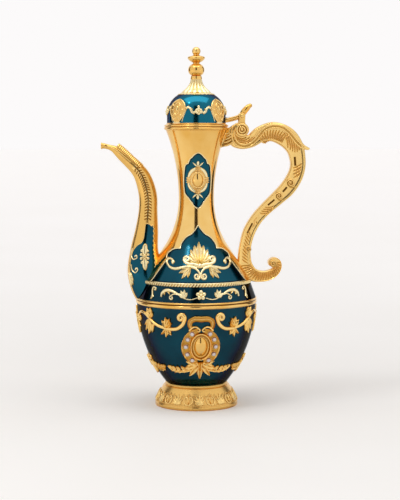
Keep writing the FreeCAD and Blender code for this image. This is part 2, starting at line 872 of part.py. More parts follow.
belly_garland = {
    "ribbons": [[(0, 0.22, 1.0), (0.168, 0.182, 1.1), (0.294, 0.173, 1.0), (0.42, 0.191, 0.7),
                 (0.525, 0.23, 0.5)]],
    "volutes": [],
    "leaves": [(0, 0.25, -90, 1.1), (0, 0.25, -62, 1.0), (0, 0.25, -34, 0.95), (0, 0.25, -8, 0.8),
               (0.15, 0.186, 48, 0.5), (0.24, 0.175, 48, 0.52), (0.34, 0.176, 48, 0.5),
               (0.43, 0.194, 48, 0.42)],
}
cartouche_crest = [(0.16, 0.72, 1.5), (0.205, 0.79, 1.7), (0.18, 0.845, 1.8), (0.1, 0.872, 1.9),
                   (0, 0.878, 1.9)]
shoulder_palmette = {
    "ribbons": [[(0, 0.284, 1.2), (0.106, 0.32, 1.2), (0.213, 0.33, 1.1), (0.309, 0.357, 0.9)],
                [(0.066, 0.252, 1.0), (0.2, 0.28, 1.0), (0.346, 0.268, 0.9), (0.495, 0.243, 0.8),
                 (0.601, 0.266, 0.7), (0.654, 0.325, 0.6)],
                [(0.17, 0.28, 0.8), (0.096, 0.252, 0.8), (0.035, 0.2, 0.8), (0.012, 0.13, 0.7)]],
    "volutes": [(0.285, 0.414, 0.75), (0.598, 0.364, 0.75), (0.069, 0.107, 0.65)],
    "leaves": [(0, 0.325, 90, 1.72), (0, 0.325, 74, 1.42), (0, 0.325, 57, 1.22), (0, 0.325, 39, 1.02),
               (0, 0.325, 20, 0.82), (0.19, 0.275, -8, 0.8), (0.19, 0.275, -28, 1.0),
               (0.19, 0.275, -48, 1.06), (0.19, 0.275, -68, 0.8)],
}


def symmetric_face(side_points, half_width, height, base_z):
    def corner(share, sign):
        across, up = share
        return FreeCAD.Vector(across * sign * half_width.value, 0, base_z.value + up * height.value)

    edges = []
    for sign in (1, -1):
        start = side_points[0]
        for middle, end in side_points[1:]:
            if middle is None:
                edge = Part.LineSegment(corner(start, sign), corner(end, sign))
            else:
                edge = Part.Arc(corner(start, sign), corner(middle, sign), corner(end, sign))
            edges.append(edge.toShape())
            start = end
    if start[0] > 0:
        edges.append(Part.LineSegment(corner(start, 1), corner(start, -1)).toShape())
    return Part.Face(Part.Wire(Part.__sortEdges__(edges)))


def oval_face(half_width, half_height, centre_z, centre_x=0.0):
    # An upright oval, or a disc where both halves are alike.
    centre = FreeCAD.Vector(centre_x, 0, centre_z.value)
    wide, tall = half_width.value, half_height.value
    axes = (FreeCAD.Vector(wide, 0, 0), FreeCAD.Vector(0, 0, tall))
    long_axis, short_axis = axes if wide > tall else axes[::-1]
    if math.isclose(wide, tall):
        curve = Part.Circle(centre, FreeCAD.Vector(0, 1, 0), wide)
    else:
        curve = Part.Ellipse(centre + long_axis, centre + short_axis, centre)
    return Part.Face(Part.Wire(curve.toShape()))


def outward(face, direction):
    # Prism from the middle of the pot out through its front or back.
    return face.extrude(FreeCAD.Vector(0, direction * 2 * s.belly_radius.value, 0))


def on_belly(across, up):
    # Front view of a place on the belly.
    height = belly_base_z + s.belly_height * up
    radius = belly_radius_at(height).value
    return FreeCAD.Vector(radius * math.sin(across * s.belly_radius.value / radius), 0, height.value)


def on_shoulder(across, up):
    height = rope_top_z + s.shoulder_panel_gap + s.shoulder_panel_height * up
    return FreeCAD.Vector(across * s.shoulder_panel_half_width.value, 0, height.value)


def ribbon_face(rows, place):
    # Curved ribbon along its rows, with smooth sides and square ends.
    line = []
    for across, up, share in rows:
        spot = place(across, up)
        line.append(FreeCAD.Vector(spot.x, (s.stem_half_width * share).value, spot.z))
    left, right = [], []
    for spot, half, heading in stations(smooth_line(line), 3 * len(rows)):
        side = FreeCAD.Vector(-heading.z, 0, heading.x) * half
        left.append(spot + side)
        right.append(spot - side)
    edges = [smooth_line(left).toShape(), smooth_line(right).toShape(),
             Part.LineSegment(left[0], right[0]).toShape(), Part.LineSegment(left[-1], right[-1]).toShape()]
    return Part.Face(Part.Wire(Part.__sortEdges__(edges)))


def leaf_face(base, heading, length):
    # Pointed leaf between two arcs.
    turn = math.radians(heading)
    ahead = FreeCAD.Vector(math.cos(turn), 0, math.sin(turn)) * length.value
    side = FreeCAD.Vector(-math.sin(turn), 0, math.cos(turn)) * s.leaf_half_width.value
    tip, middle = base + ahead, base + ahead * 0.5
    edges = [Part.Arc(base, middle + side, tip).toShape(), Part.Arc(base, middle - side, tip).toShape()]
    return Part.Face(Part.Wire(edges))


def ring_face(centre, radius):
    rim, eye = (Part.Circle(centre, FreeCAD.Vector(0, 1, 0), size.value) for size in (radius, s.volute_eye))
    return Part.Face(Part.Wire(rim.toShape())).cut(Part.Face(Part.Wire(eye.toShape())))


def mirror_image(face):
    return face.mirror(FreeCAD.Vector(0, 0, 0), FreeCAD.Vector(1, 0, 0))


def relief_prism(design, place):
    # The right half of a design and its mirror image, merged where they touch and drawn out to the front.
    half = [ribbon_face(rows, place) for rows in design["ribbons"]]
    for across, up, share in design["volutes"]:
        half.append(ring_face(place(across, up), s.volute_radius * share))
    for across, up, heading, share in design["leaves"]:
        half.append(leaf_face(place(across, up), heading, s.leaf_length * share))
    every = [outward(face, faces["front"]) for face in half + [mirror_image(face) for face in half]]
    return every[0].multiFuse(every[1:]).removeSplitter()


def relief(label, skin, prism, turns):
    # A prism's share of a skin, once for each turn (in degrees) round the pot from the front.
    copies = []
    for turn in turns:
        turned_prism = prism.copy()
        turned_prism.rotate(FreeCAD.Vector(0, 0, 0), FreeCAD.Vector(0, 0, 1), turn)
        copies.append(turned_prism)
    return shared(label, skin, shaped(label + "_prisms", Part.makeCompound(copies)))


def make_belly_relief():
    skin = belly_skin("relief_skin", zero, s.relief_proud)
    festoon = relief_prism(belly_festoon, on_belly)
    made = [relief(f"belly_festoon_{place}", skin, festoon, [turn]) for place, turn in face_turns.items()]
    made.append(relief("belly_side_sprays", skin, relief_prism(belly_side_spray, on_belly), [90, 270]))
    made.append(relief("belly_garland", skin, relief_prism(belly_garland, on_belly), [0, 90, 180, 270]))
    return made


def make_shoulder_relief(skin):
    prism = relief_prism(shoulder_palmette, on_shoulder)
    return {f"shoulder_palmette_{place}": relief(f"shoulder_palmette_{place}", skin, prism, [turn])
            for place, turn in face_turns.items()}


def neck_skin(label, outer_inset, inner_inset):
    return turned(label, neck_outline(outer_inset) + neck_return(inner_inset))


def belly_skin(label, inner_proud, outer_proud):
    return turned(label, [
        (s.foot_top_radius + inner_proud, belly_base_z),
        (s.foot_top_radius + outer_proud, belly_base_z, belly_arc, 1),
        (s.belly_radius + outer_proud, waist_z),
        (s.belly_radius + inner_proud, waist_z, belly_arc, -1),
    ])


def make_neck_ornaments():
    enamel = neck_skin("enamel_skin", zero, s.enamel_depth)
    relief_skin = neck_skin("medallion_skin", s.medallion_proud * -1, zero)
    neck_panel_z = neck_z + s.neck_panel_rise
    panel_z = rope_top_z + s.shoulder_panel_gap
    outlines = {
        "neck_enamel": (enamel, symmetric_face(neck_panel_side, s.neck_panel_half_width,
                                               s.neck_panel_half_height, neck_panel_z)),
        "shoulder_enamel": (enamel, symmetric_face(shoulder_panel_side, s.shoulder_panel_half_width,
                                                   s.shoulder_panel_height, panel_z)),
        "neck_medallion": (relief_skin, oval_face(s.medallion_half_width, s.medallion_half_height,
                                                  neck_panel_z)),
    }
    made = {}
    for name, (skin, outline) in outlines.items():
        for place, direction in faces.items():
            prism = shaped(f"{name}_{place}_prism", outward(outline, direction))
            made[f"{name}_{place}"] = shared(f"{name}_{place}", skin, prism)
    made.update(make_shoulder_relief(relief_skin))
    return made


def make_cartouches():
    frame_skin = belly_skin("frame_skin", zero, s.cartouche_proud)
    cabochon_skin = belly_skin("cabochon_skin", zero, s.cabochon_proud)
    crystal_skin = belly_skin("crystal_skin", s.crystal_seat, s.crystal_proud)
    centre_z = belly_base_z + s.cartouche_rise
    inner = oval_face(s.cabochon_half_width, s.cabochon_half_height, centre_z)
    crest = ribbon_face(cartouche_crest, on_belly)
    oval = oval_face(s.cartouche_half_width, s.cartouche_half_height, centre_z)
    ring = oval.multiFuse([crest, mirror_image(crest)]).cut(inner).removeSplitter()
    ring_width = (s.cartouche_half_width + s.cabochon_half_width).value / 2
    ring_height = (s.cartouche_half_height + s.cabochon_half_height) / 2
    discs = []
    for side in (1, -1):
        for angle in crystal_angles:
            up = centre_z + ring_height * math.sin(math.radians(angle))
            across = side * ring_width * math.cos(math.radians(angle))
            discs.append(oval_face(s.crystal_radius, s.crystal_radius, up, across))
    made = []
    for place, direction in faces.items():
        prisms = [outward(disc, direction) for disc in discs]
        stones = shaped(f"crystal_prisms_{place}", Part.makeCompound(prisms))
        crystals = shared(f"crystals_{place}", crystal_skin, stones)
        ring_prism = shaped(f"frame_prism_{place}", outward(ring.Faces[0], direction))
        blank = shared(f"frame_blank_{place}", frame_skin, ring_prism)
        oval_prism = shaped(f"cabochon_prism_{place}", outward(inner, direction))
        made += [cut(f"belly_cartouche_{place}", blank, crystals), crystals,
                 shared(f"cabochon_{place}", cabochon_skin, oval_prism)]
    return made


def make_lid_medallions():
    proud = s.lid_medallion_proud
    skin = turned("lid_relief_skin", [
        (s.dome_radius, dome_z),
        (s.dome_radius + proud, dome_z),
        (s.dome_radius + proud, dome_bend_z, crown_radius + proud, 1),
        (s.crown_flat, crown_z + proud),
        (s.crown_flat, crown_z, crown_radius, -1),
        (s.dome_radius, dome_bend_z),
    ])
    oval = oval_face(s.lid_medallion_half_width, s.lid_medallion_half_height, dome_z + s.lid_medallion_rise)
    prisms = []
    for quarter in range(4):
        prism = outward(oval, -1)
        prism.rotate(FreeCAD.Vector(0, 0, 0), FreeCAD.Vector(0, 0, 1), 45 + 90 * quarter)
        prisms.append(prism)
    return shared("lid_medallions", skin, shaped("lid_medallion_prisms", Part.makeCompound(prisms)))


# Screws that hold the handle and the lid lever, from inside the shells
def screw_shape(seat, heading, grip):
    # Pan head whose flat lies at seat, and a shank that runs on by grip.
    head = Part.makeCylinder(s.screw_head_radius.value, s.screw_head_height.value, seat, heading * -1)
    return head.fuse(Part.makeCylinder(s.screw_radius.value, grip, seat, heading))


def handle_screw_places():
    # Where each screw meets the inner face of the shell, and the way it points.
    high_z = mouth_z - s.handle_reach * 0.145
    high = FreeCAD.Vector((upper_neck_radius_at(high_z) - s.wall).value, 0, high_z.value)
    rise = shoulder_top_z - rope_top_z
    fall = s.shoulder_radius - s.shoulder_top_radius
    share = 0.42
    low = FreeCAD.Vector((shoulder_radius_at(share) - s.wall).value, 0, (rope_top_z + rise * share).value)
    outward_normal = FreeCAD.Vector(rise.value, 0, fall.value).normalize()
    return [(high, FreeCAD.Vector(1, 0, 0)), (low, outward_normal)]


def make_handle_screws(shell):
    screws, washers = [], []
    for place, heading in handle_screw_places():
        seat = place - heading * s.saddle_thickness.value
        grip = s.saddle_thickness.value + s.wall.value + s.screw_depth.value
        screw = screw_shape(seat, heading, grip)
        depth = (s.saddle_thickness + s.wall / 2).value
        saddle = Part.makeCylinder(s.saddle_radius.value, depth, seat, heading)
        screws.append(screw)
        washers.append(saddle.cut(screw))
    saddles = shaped("saddle_blanks", Part.makeCompound(washers))
    return shaped("handle_screws", Part.makeCompound(screws)), cut("handle_washers", saddles, shell)


def make_lever_screw():
    inner = s.dome_radius - s.lid_wall
    seat_x = root(inner * inner - s.screw_head_radius * s.screw_head_radius)
    seat = FreeCAD.Vector(seat_x.value, 0, (hinge_z - s.ear_radius * 0.9).value)
    grip = s.lid_wall.value + s.screw_depth.value
    return shaped("lever_screw", screw_shape(seat, FreeCAD.Vector(1, 0, 0), grip))


def make_rope(spout_outer, handle):
    # The wire stops at the root of the spout and at the handle.
    torus = doc.addObject("Part::Torus", "rope_blank")
    torus.setExpression("Radius1", (s.shoulder_radius + s.rope_wire_radius).text)
    torus.setExpression("Radius2", s.rope_wire_radius.text)
    torus.setExpression("Placement.Base.z", rope_z.text)
    return cut("rope_ring", cut("rope_at_spout", torus, spout_outer), handle)


def report_and_write(nodes):
    doc.recompute()
    failed = [item.Label for item in doc.Objects if "Invalid" in item.State or "Error" in item.State]
    if failed:
        raise RuntimeError(f"failed objects: {failed}")
    for node in nodes:
        if node.Shape.isNull() or not node.Shape.isValid():
            raise RuntimeError(f"{node.Label} has no valid shape")
    os.makedirs("parts", exist_ok=True)
    for node in nodes:
        node.Shape.exportStep(os.path.join("parts", node.Label + ".step"))
        print(node.Label, len(node.Shape.Solids), round(node.Shape.Volume, 1))


def make_pot():
    envelope = make_envelope()
    blank = make_shell_blank()
    spout, spout_outer = make_spout(envelope)
    handle_blank, hinge_pin = make_handle(envelope)
    ornaments = make_neck_ornaments()
    screws, washers = make_handle_screws(blank)
    handle = cut("handle", handle_blank, screws)
    inlays = [piece for name, piece in ornaments.items() if "enamel" in name]
    shell = cut("upper_shell", cut("shell_inlaid", blank, group("inlays", inlays)), screws)
    return [shell, make_band_enamel(), make_rope(spout_outer, handle), make_collar(), spout, handle, hinge_pin,
            screws, washers, *make_foot(), *make_bowl(), *ornaments.values(), *make_cartouches(),
            *make_belly_relief()]


def make_lid_assembly():
    rim, skirt, blank = make_lid()
    screw = make_lever_screw()
    dome = cut("lid_dome", blank, screw)
    outside = cylinder("dome_outside", s.dome_radius, s.dome_wall_height, (zero, zero, dome_z))
    lever = cut("lid_lever", cut("lever_fitted", make_lever(), outside), screw)
    return [rim, skirt, dome, make_lid_medallions(), lever, screw, *make_finial()]


report_and_write(make_pot() + make_lid_assembly())
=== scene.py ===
import bmesh
import bpy
import json
from math import asin, atan2, copysign, cos, dist, hypot, log, pi, radians, sin, sqrt
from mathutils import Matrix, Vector
from mathutils.geometry import delaunay_2d_cdt


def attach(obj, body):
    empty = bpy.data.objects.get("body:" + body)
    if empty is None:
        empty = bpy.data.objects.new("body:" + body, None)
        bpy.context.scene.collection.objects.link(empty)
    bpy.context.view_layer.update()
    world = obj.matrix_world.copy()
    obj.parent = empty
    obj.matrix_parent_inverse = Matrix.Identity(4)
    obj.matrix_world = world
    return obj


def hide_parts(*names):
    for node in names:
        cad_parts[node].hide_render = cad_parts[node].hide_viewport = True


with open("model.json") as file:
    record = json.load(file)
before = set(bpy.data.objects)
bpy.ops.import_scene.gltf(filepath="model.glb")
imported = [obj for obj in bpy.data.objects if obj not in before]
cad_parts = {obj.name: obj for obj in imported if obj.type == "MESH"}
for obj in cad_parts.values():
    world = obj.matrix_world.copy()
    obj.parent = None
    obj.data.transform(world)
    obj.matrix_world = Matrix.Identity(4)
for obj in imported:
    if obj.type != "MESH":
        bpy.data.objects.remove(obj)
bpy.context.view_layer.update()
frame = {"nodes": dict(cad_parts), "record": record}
mm = 0.001  # sizes below are in millimetres, as on the drawing


# Nodes and colours
def hexColour(text):
    channels = [int(text[at:at + 2], 16) / 255 for at in (1, 3, 5)]
    linear = [c / 12.92 if c <= 0.04045 else ((c + 0.055) / 1.055) ** 2.4 for c in channels]
    return (*linear, 1.0)


def addNode(tree, kind, settings=None, values=None, links=None, stops=()):
    node = tree.nodes.new(kind)
    for name, value in (settings or {}).items():
        setattr(node, name, value)
    for socket, value in (values or {}).items():
        node.inputs[socket].default_value = value
    for socket, source in (links or {}).items():
        tree.links.new(source, node.inputs[socket])
    if stops:  # places and colours on a ramp
        elements = node.color_ramp.elements
        while len(elements) < len(stops):
            elements.new(0.5)
        for element, (at, colour) in zip(elements, stops):
            element.position = at
            element.color = hexColour(colour)
    return node


def newMaterial(name):
    material = bpy.data.materials.new(name)
    material.use_nodes = True
    tree = material.node_tree
    place = addNode(tree, "ShaderNodeTexCoord").outputs["Object"]
    return material, tree, place


def setShader(tree, values, links):
    # What is the same all over goes straight onto the shader's own sockets.
    shader = tree.nodes["Principled BSDF"]
    for socket, value in values.items():
        shader.inputs[socket].default_value = value
    for socket, source in links.items():
        tree.links.new(source, shader.inputs[socket])


# A noise is (size in mm, detail, distortion), a gloss (noise, two roughnesses) and a bump
# (noise, strength, mm, socket).
def makeMaterial(name, look):
    # Noise is added to a base, such as the painted light of the relief. The sum picks the colour.
    material, tree, place = newMaterial(name)
    source = {}
    if look["base"] == "paintedLight":
        paintedLight = addNode(tree, "ShaderNodeAttribute", settings={"attribute_name": "paintedLight"})
        source["paintedLight"] = paintedLight.outputs["Fac"]
    for key, (sizeMm, detail, twist) in look["noise"].items():
        values = {"Scale": 1 / (sizeMm * mm), "Detail": detail, "Distortion": twist}
        noise = addNode(tree, "ShaderNodeTexNoise", values=values, links={"Vector": place})
        source[key] = noise.outputs["Fac"]
    source["tone"] = source[look["base"]]
    for key, share in look["added"].items():
        total = addNode(tree, "ShaderNodeMath", settings={"operation": "MULTIPLY_ADD"},
            values={1: share}, links={0: source[key], 2: source["tone"]})
        source["tone"] = total.outputs["Value"]
    ramp = addNode(tree, "ShaderNodeValToRGB", links={"Fac": source["tone"]}, stops=look["stops"])
    links = {"Base Color": ramp.outputs["Color"]}
    if "gloss" in look:
        key, low, high = look["gloss"]
        rough = addNode(tree, "ShaderNodeMapRange", values={"To Min": low, "To Max": high},
            links={"Value": source[key]})
        links["Roughness"] = rough.outputs["Result"]
    if "bump" in look:
        key, strength, highMm, socket = look["bump"]
        bump = addNode(tree, "ShaderNodeBump", values={"Strength": strength, "Distance": highMm * mm},
            links={"Height": source[key]})
        links[socket] = bump.outputs["Normal"]
    setShader(tree, look["values"], links)
    return material


# Polished gold plate: warm reflections that drift slightly in tone, with faint polishing swirls.
goldLook = {
    "stops": [(0.32, "#e8b45a"), (0.68, "#f6d084")],
    "noise": {"drift": (26, 3, 0.0), "swirl": (1.6, 4, 1.2)}, "base": "drift", "added": {},
    "gloss": ("swirl", 0.084, 0.168), "bump": ("swirl", 0.05, 0.05, "Normal"),
    "values": {"Metallic": 1.0},
}


# Cast and plated relief: painted highlights on the crests and painted shade in the hollows, both from
# the painted light, and a cast grain too fine to see by itself that breaks up the shine.
def castLook(hollow, slope, crest, roughness):
    return {
        "stops": [(0.06, hollow), (0.36, slope), (0.95, crest)],
        "noise": {"grain": (0.5, 5, 0.0)}, "base": "paintedLight", "added": {"grain": 0.15},
        "gloss": ("tone", roughness * 1.5, roughness * 0.8), "bump": ("grain", 0.1, 0.06, "Normal"),
        "values": {"Metallic": 1.0},
    }


# Fired peacock enamel over metal: a deep tinted glow from below, cloudy in depth, under a clear
# glassy surface that stays dark towards its edges. Each piece's tone is painted light on top of that:
# painted shade on the belly and band, a painted highlight on the lid's dome.
enamelLook = {
    "stops": [(0.35, "#03222f"), (1.0, "#0d6a80")],
    "noise": {"cloud": (30, 4, 0.0), "fleck": (0.35, 2, 0.0)}, "base": "paintedLight",
    "added": {"cloud": 0.4, "fleck": 0.1},
    "gloss": ("fleck", 0.136, 0.204), "bump": ("cloud", 0.04, 0.1, "Coat Normal"),
    "values": {"Metallic": 1.0, "Specular Tint": hexColour("#1c5a6c"), "Coat Weight": 0.2,
        "Coat Roughness": 0.04, "Coat IOR": 1.5},
}
# Cut lead crystal: clear, sharp facets, with painted reflections in its colour: white in the middle
# for the foil behind and rosy towards its edge for the gold round it.
crystalLook = {
    "stops": [(0.15, "#a8604e"), (0.6, "#eec8be"), (0.95, "#fffaf6")],
    "noise": {"cloud": (4, 2, 0.0)}, "base": "paintedLight", "added": {"cloud": 0.2},
    "values": {"Roughness": 0.02, "IOR": 1.54, "Transmission Weight": 0.25},
}
# Plain turned steel of the hidden fasteners: grey with turning marks.
steelLook = {"dark": "#8d9094", "light": "#b9bcc0", "markMm": 2.5, "wander": 2.0, "roughness": 0.35}


def makeSteel():
    material, tree, place = newMaterial("turnedSteel")
    marks = addNode(tree, "ShaderNodeTexWave", links={"Vector": place},
        values={"Scale": 1 / (steelLook["markMm"] * mm), "Distortion": steelLook["wander"]})
    colour = addNode(tree, "ShaderNodeValToRGB", links={"Fac": marks.outputs["Fac"]},
        stops=[(0.0, steelLook["dark"]), (1.0, steelLook["light"])])
    setShader(tree, {"Metallic": 1.0, "Roughness": steelLook["roughness"]},
        {"Base Color": colour.outputs["Color"]})
    return material


goldPlate = makeMaterial("polishedGoldPlate", goldLook)
castGold = makeMaterial("castGoldRelief", castLook("#54330e", "#dea84c", "#f8d284", 0.22))
paleGold = makeMaterial("paleGoldRelief", castLook("#866430", "#e0be74", "#f6e6b4", 0.28))
softGold = makeMaterial("softGoldRelief", castLook("#8c5a16", "#dea84e", "#f5d28a", 0.25))
enamel = makeMaterial("peacockEnamel", enamelLook)
crystal = makeMaterial("cutCrystal", crystalLook)
steel = makeSteel()
print("materials ready")


# Mesh building
def newShape():
    return {"points": [], "faces": [], "paintedLight": []}


def addPoint(shape, point, paintedLight=0.5):
    shape["points"].append(point)
    shape["paintedLight"].append(paintedLight)
    return len(shape["points"]) - 1


def addRings(shape, rings):
    # Skins neighbouring rings of point numbers. A ring of one point is a pole or a tip.
    for low, high in zip(rings, rings[1:]):
        count = max(len(low), len(high))
        for step in range(count):
            after = (step + 1) % count
            corners = []
            for ring, at in ((low, step), (low, after), (high, after), (high, step)):
                corner = ring[at] if len(ring) > 1 else ring[0]
                if corner not in corners:
                    corners.append(corner)
            shape["faces"].append(corners)


def addCapped(shape, rings, ends, paintedLight=0.5):
    # Rings closed by a point at each end.
    first, last = ([addPoint(shape, end, paintedLight)] for end in ends)
    addRings(shape, [first, *rings, last])


def meshFrom(shape, name):
    mesh = bpy.data.meshes.new(name)
    mesh.from_pydata([[value * mm for value in point] for point in shape["points"]], [], shape["faces"])
    work = bmesh.new()
    work.from_mesh(mesh)
    bmesh.ops.recalc_face_normals(work, faces=work.faces)
    work.to_mesh(mesh)
    work.free()
    mesh.shade_smooth()
    # Painted light: a share per point that picks a darker or lighter colour, standing in for shade and
    # highlights.
    paintedLight = mesh.attributes.new("paintedLight", "FLOAT", "POINT")
    paintedLight.data.foreach_set("value", shape["paintedLight"])
    return mesh


def addPiece(mesh, name, material, body, stands=(), crease=None):
    mesh.materials.clear()
    mesh.materials.append(material)
    piece = bpy.data.objects.new(name, mesh)
    bpy.context.scene.collection.objects.link(piece)
    if crease:
        mesh.set_sharp_from_angle(angle=radians(crease))
    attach(piece, body)
    if stands:
        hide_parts(*stands)
    return piece


def finishShape(shape, name, material, body, stands=(), crease=None):
    return addPiece(meshFrom(shape, name), name, material, body, stands, crease)


# Curves on paper
def roundPoint(centre, turn, wide, tall=None):
    # Point at an angle on a circle, or on an ellipse of two half widths.
    return centre[0] + wide * cos(turn), centre[1] + (tall or wide) * sin(turn)


def uprightArc(upright, other, count=24):
    # Arc between two (radius, height) points that stands upright at the first one.
    run, rise = other[0] - upright[0], other[1] - upright[1]
    radius = (run * run + rise * rise) / (2 * abs(run))
    side = copysign(1, run)
    rows = []
    for step in range(count + 1):
        up = rise * step / count
        rows.append((upright[0] + side * (radius - sqrt(radius * radius - up * up)), upright[1] + up))
    return rows


def beadArc(low, high, proud, count=10):
    # Half-round bead between two points one above the other.
    rows = []
    for step in range(count + 1):
        turn = pi * step / count
        rows.append((low[0] + (high[0] - low[0]) * step / count + proud * sin(turn),
            (low[1] + high[1]) / 2 - (high[1] - low[1]) / 2 * cos(turn)))
    return rows


def smoothPath(points, per):
    # Even curve through a few points (Catmull-Rom), of any number of columns.
    last = len(points) - 1
    rows = []
    for at in range(last):
        before, here = points[max(at - 1, 0)], points[at]
        there, after = points[at + 1], points[min(at + 2, last)]
        for step in range(per):
            t = step / per
            rows.append(tuple(0.5 * (2 * b + (c - a) * t + (2 * a - 5 * b + 4 * c - d) * t * t
                + (3 * b - a - 3 * c + d) * t ** 3) for a, b, c, d in zip(before, here, there, after)))
    rows.append(tuple(points[-1]))
    return rows


def curlOn(path, radius, turns, hand, inner=0.22):
    # Winds the end of a path into a volute. Hand is 1 to the left, -1 to the right.
    (x0, y0), (x1, y1) = path[-2][:2], path[-1][:2]
    heading = atan2(y1 - y0, x1 - x0)
    toEye = heading + hand * pi / 2
    eye = roundPoint((x1, y1), toEye, radius)
    rows = list(path)
    count = 22
    for step in range(1, count + 1):
        share = step / count
        reach = radius * (1 - (1 - inner) * share)
        turn = toEye + pi + hand * turns * 2 * pi * share
        rows.append(roundPoint(eye, turn, reach))
    return rows


def offsetPath(path, by):
    # The same path moved to its left.
    rows = []
    for at, (x, y) in enumerate(path):
        before, after = path[max(at - 1, 0)], path[min(at + 1, len(path) - 1)]
        run, rise = after[0] - before[0], after[1] - before[1]
        size = hypot(run, rise)
        rows.append((x - rise / size * by, y + run / size * by))
    return rows


def bowedPath(start, end, bow, count=8):
    # Arc between two points that stands off its chord to the left by the bow.
    run, rise = end[0] - start[0], end[1] - start[1]
    size = hypot(run, rise)
    rows = []
    for step in range(count + 1):
        t = step / count
        off = 4 * bow * t * (1 - t) / size
        rows.append((start[0] + run * t - rise * off, start[1] + rise * t + run * off))
    return rows


def ellipsePath(centre, wide, tall, count=48):
    return [roundPoint(centre, 2 * pi * step / count, wide, tall) for step in range(count)]


def bothSides(right):
    # A right half and its mirror image in one closed outline.
    return right + [(-across, up) for across, up in reversed(right) if across > 1e-6]


# Faces that ornaments sit on: each gives put(across, up, proud) in millimetres
def turnedFace(outline):
    lengths = [0.0]
    for low, high in zip(outline, outline[1:]):
        lengths.append(lengths[-1] + dist(low, high))

    def segmentAt(along):
        at = 0
        while at < len(lengths) - 2 and lengths[at + 1] < along:
            at += 1
        return at, (along - lengths[at]) / max(lengths[at + 1] - lengths[at], 1e-9)

    def normalAt(at):
        low, high = outline[max(at - 1, 0)], outline[min(at + 1, len(outline) - 1)]
        run, rise = high[0] - low[0], high[1] - low[1]
        size = hypot(run, rise)
        return rise / size, -run / size

    def place(angle, along, proud):
        at, share = segmentAt(along)
        low, high = outline[at], outline[at + 1]
        ends = normalAt(at), normalAt(at + 1)
        lean = [ends[0][k] + (ends[1][k] - ends[0][k]) * share for k in (0, 1)]
        radius = low[0] + (high[0] - low[0]) * share + proud * lean[0]
        height = low[1] + (high[1] - low[1]) * share + proud * lean[1]
        return radius * sin(angle), -radius * cos(angle), height

    def lengthAt(height):
        for at, (low, high) in enumerate(zip(outline, outline[1:])):
            if low[1] <= height <= high[1]:
                step = lengths[at + 1] - lengths[at]
                return lengths[at] + step * (height - low[1]) / (high[1] - low[1])
        return lengths[-1] if height > outline[-1][1] else 0.0

    def radiusAt(along):
        at, share = segmentAt(along)
        return outline[at][0] + (outline[at + 1][0] - outline[at][0]) * share

    return {"place": place, "lengthAt": lengthAt, "radiusAt": radiusAt}


def patchOn(face, angle, height):
    # Paper laid on a turned face, with its origin at an angle (degrees from the front) and a height.
    start = face["lengthAt"](height)

    def put(across, up, proud):
        radius = max(face["radiusAt"](start + up), 1.0)
        return face["place"](radians(angle) + across / radius, start + up, proud)
    return put


def frontOn(face, direction):
    # The front view's (x, height) laid on a turned face. Direction is 1 in front and -1 behind.
    def put(across, height, proud):
        along = face["lengthAt"](height)
        angle = asin(max(-1.0, min(1.0, across / face["radiusAt"](along))))
        return face["place"](angle if direction > 0 else pi + angle, along, proud)
    return put


def onPaper(across, up, proud):
    return across, up, proud


def mirrored(put, side):
    return lambda across, up, proud: put(across * side, up, proud)


def raisedBy(put, rise):
    return lambda across, up, proud: put(across, up, proud + rise)


# Sections of relief strokes. A row is (share of the half width, share of the height, painted light if
# it isn't the height). The groove, scratch, gouge and channel sections are painted darkest in their
# middles, as painted shade in the cut.
roundSection = [(-1, -0.15), (-0.95, 0.25), (-0.7, 0.68), (-0.3, 0.95), (0.3, 0.95), (0.7, 0.68),
    (0.95, 0.25), (1, -0.15)]
leafSection = [(-1, -0.15), (-0.9, 0.4), (-0.55, 0.9), (-0.2, 0.62), (0.0, 0.35), (0.2, 0.62),
    (0.55, 0.9), (0.9, 0.4), (1, -0.15)]
edgeSection = [(-1, -0.2), (-0.8, 0.75), (-0.3, 1.0), (0.3, 1.0), (0.8, 0.75), (1, -0.2)]
paintedGrooveSection = [(-1, 0.3, 0.4), (-0.7, 0.6, 0.0), (0.7, 0.6, 0.0), (1, 0.3, 0.4)]
paintedScratchSection = [(-1, 0.2, 0.4), (0.0, 0.5, 0.05), (1, 0.2, 0.4)]
gougeSection = [(-1, -0.1, 0.5), (-0.74, 0.9, 0.9), (-0.5, 0.75, 0.7), (-0.3, 0.15, 0.2),
    (0.3, 0.15, 0.2), (0.5, 0.75, 0.7), (0.74, 0.9, 0.9), (1, -0.1, 0.5)]
channelSection = [(-1, -0.2, 0.3), (-0.96, 0.9, 1.0), (-0.82, 1.15, 1.0), (-0.68, 0.5, 0.2),
    (0.68, 0.5, 0.2), (0.82, 1.15, 1.0), (0.96, 0.9, 1.0), (1, -0.2, 0.3)]
# Rows of domes are (share of the radius, share of the height).
knobRows = ((1.0, -0.3), (1.0, 0.1), (0.86, 0.55), (0.55, 0.9))
granuleRows = ((1.0, -0.3), (0.9, 0.5))
bowlRows = ((1.0, -0.3), (1.0, 0.02), (0.9, 0.2), (0.75, 0.44), (0.55, 0.7), (0.3, 0.91))


def swell(full, tip=0.12, peak=0.45):
    # Width along a leaf: thin at both ends, widest at the peak.
    def at(share):
        lean = share ** (log(0.5) / log(peak))
        return full * (tip + (1 - tip) * sin(pi * lean) ** 0.8)
    return at


def taper(start, end):
    return lambda share: start + (end - start) * share


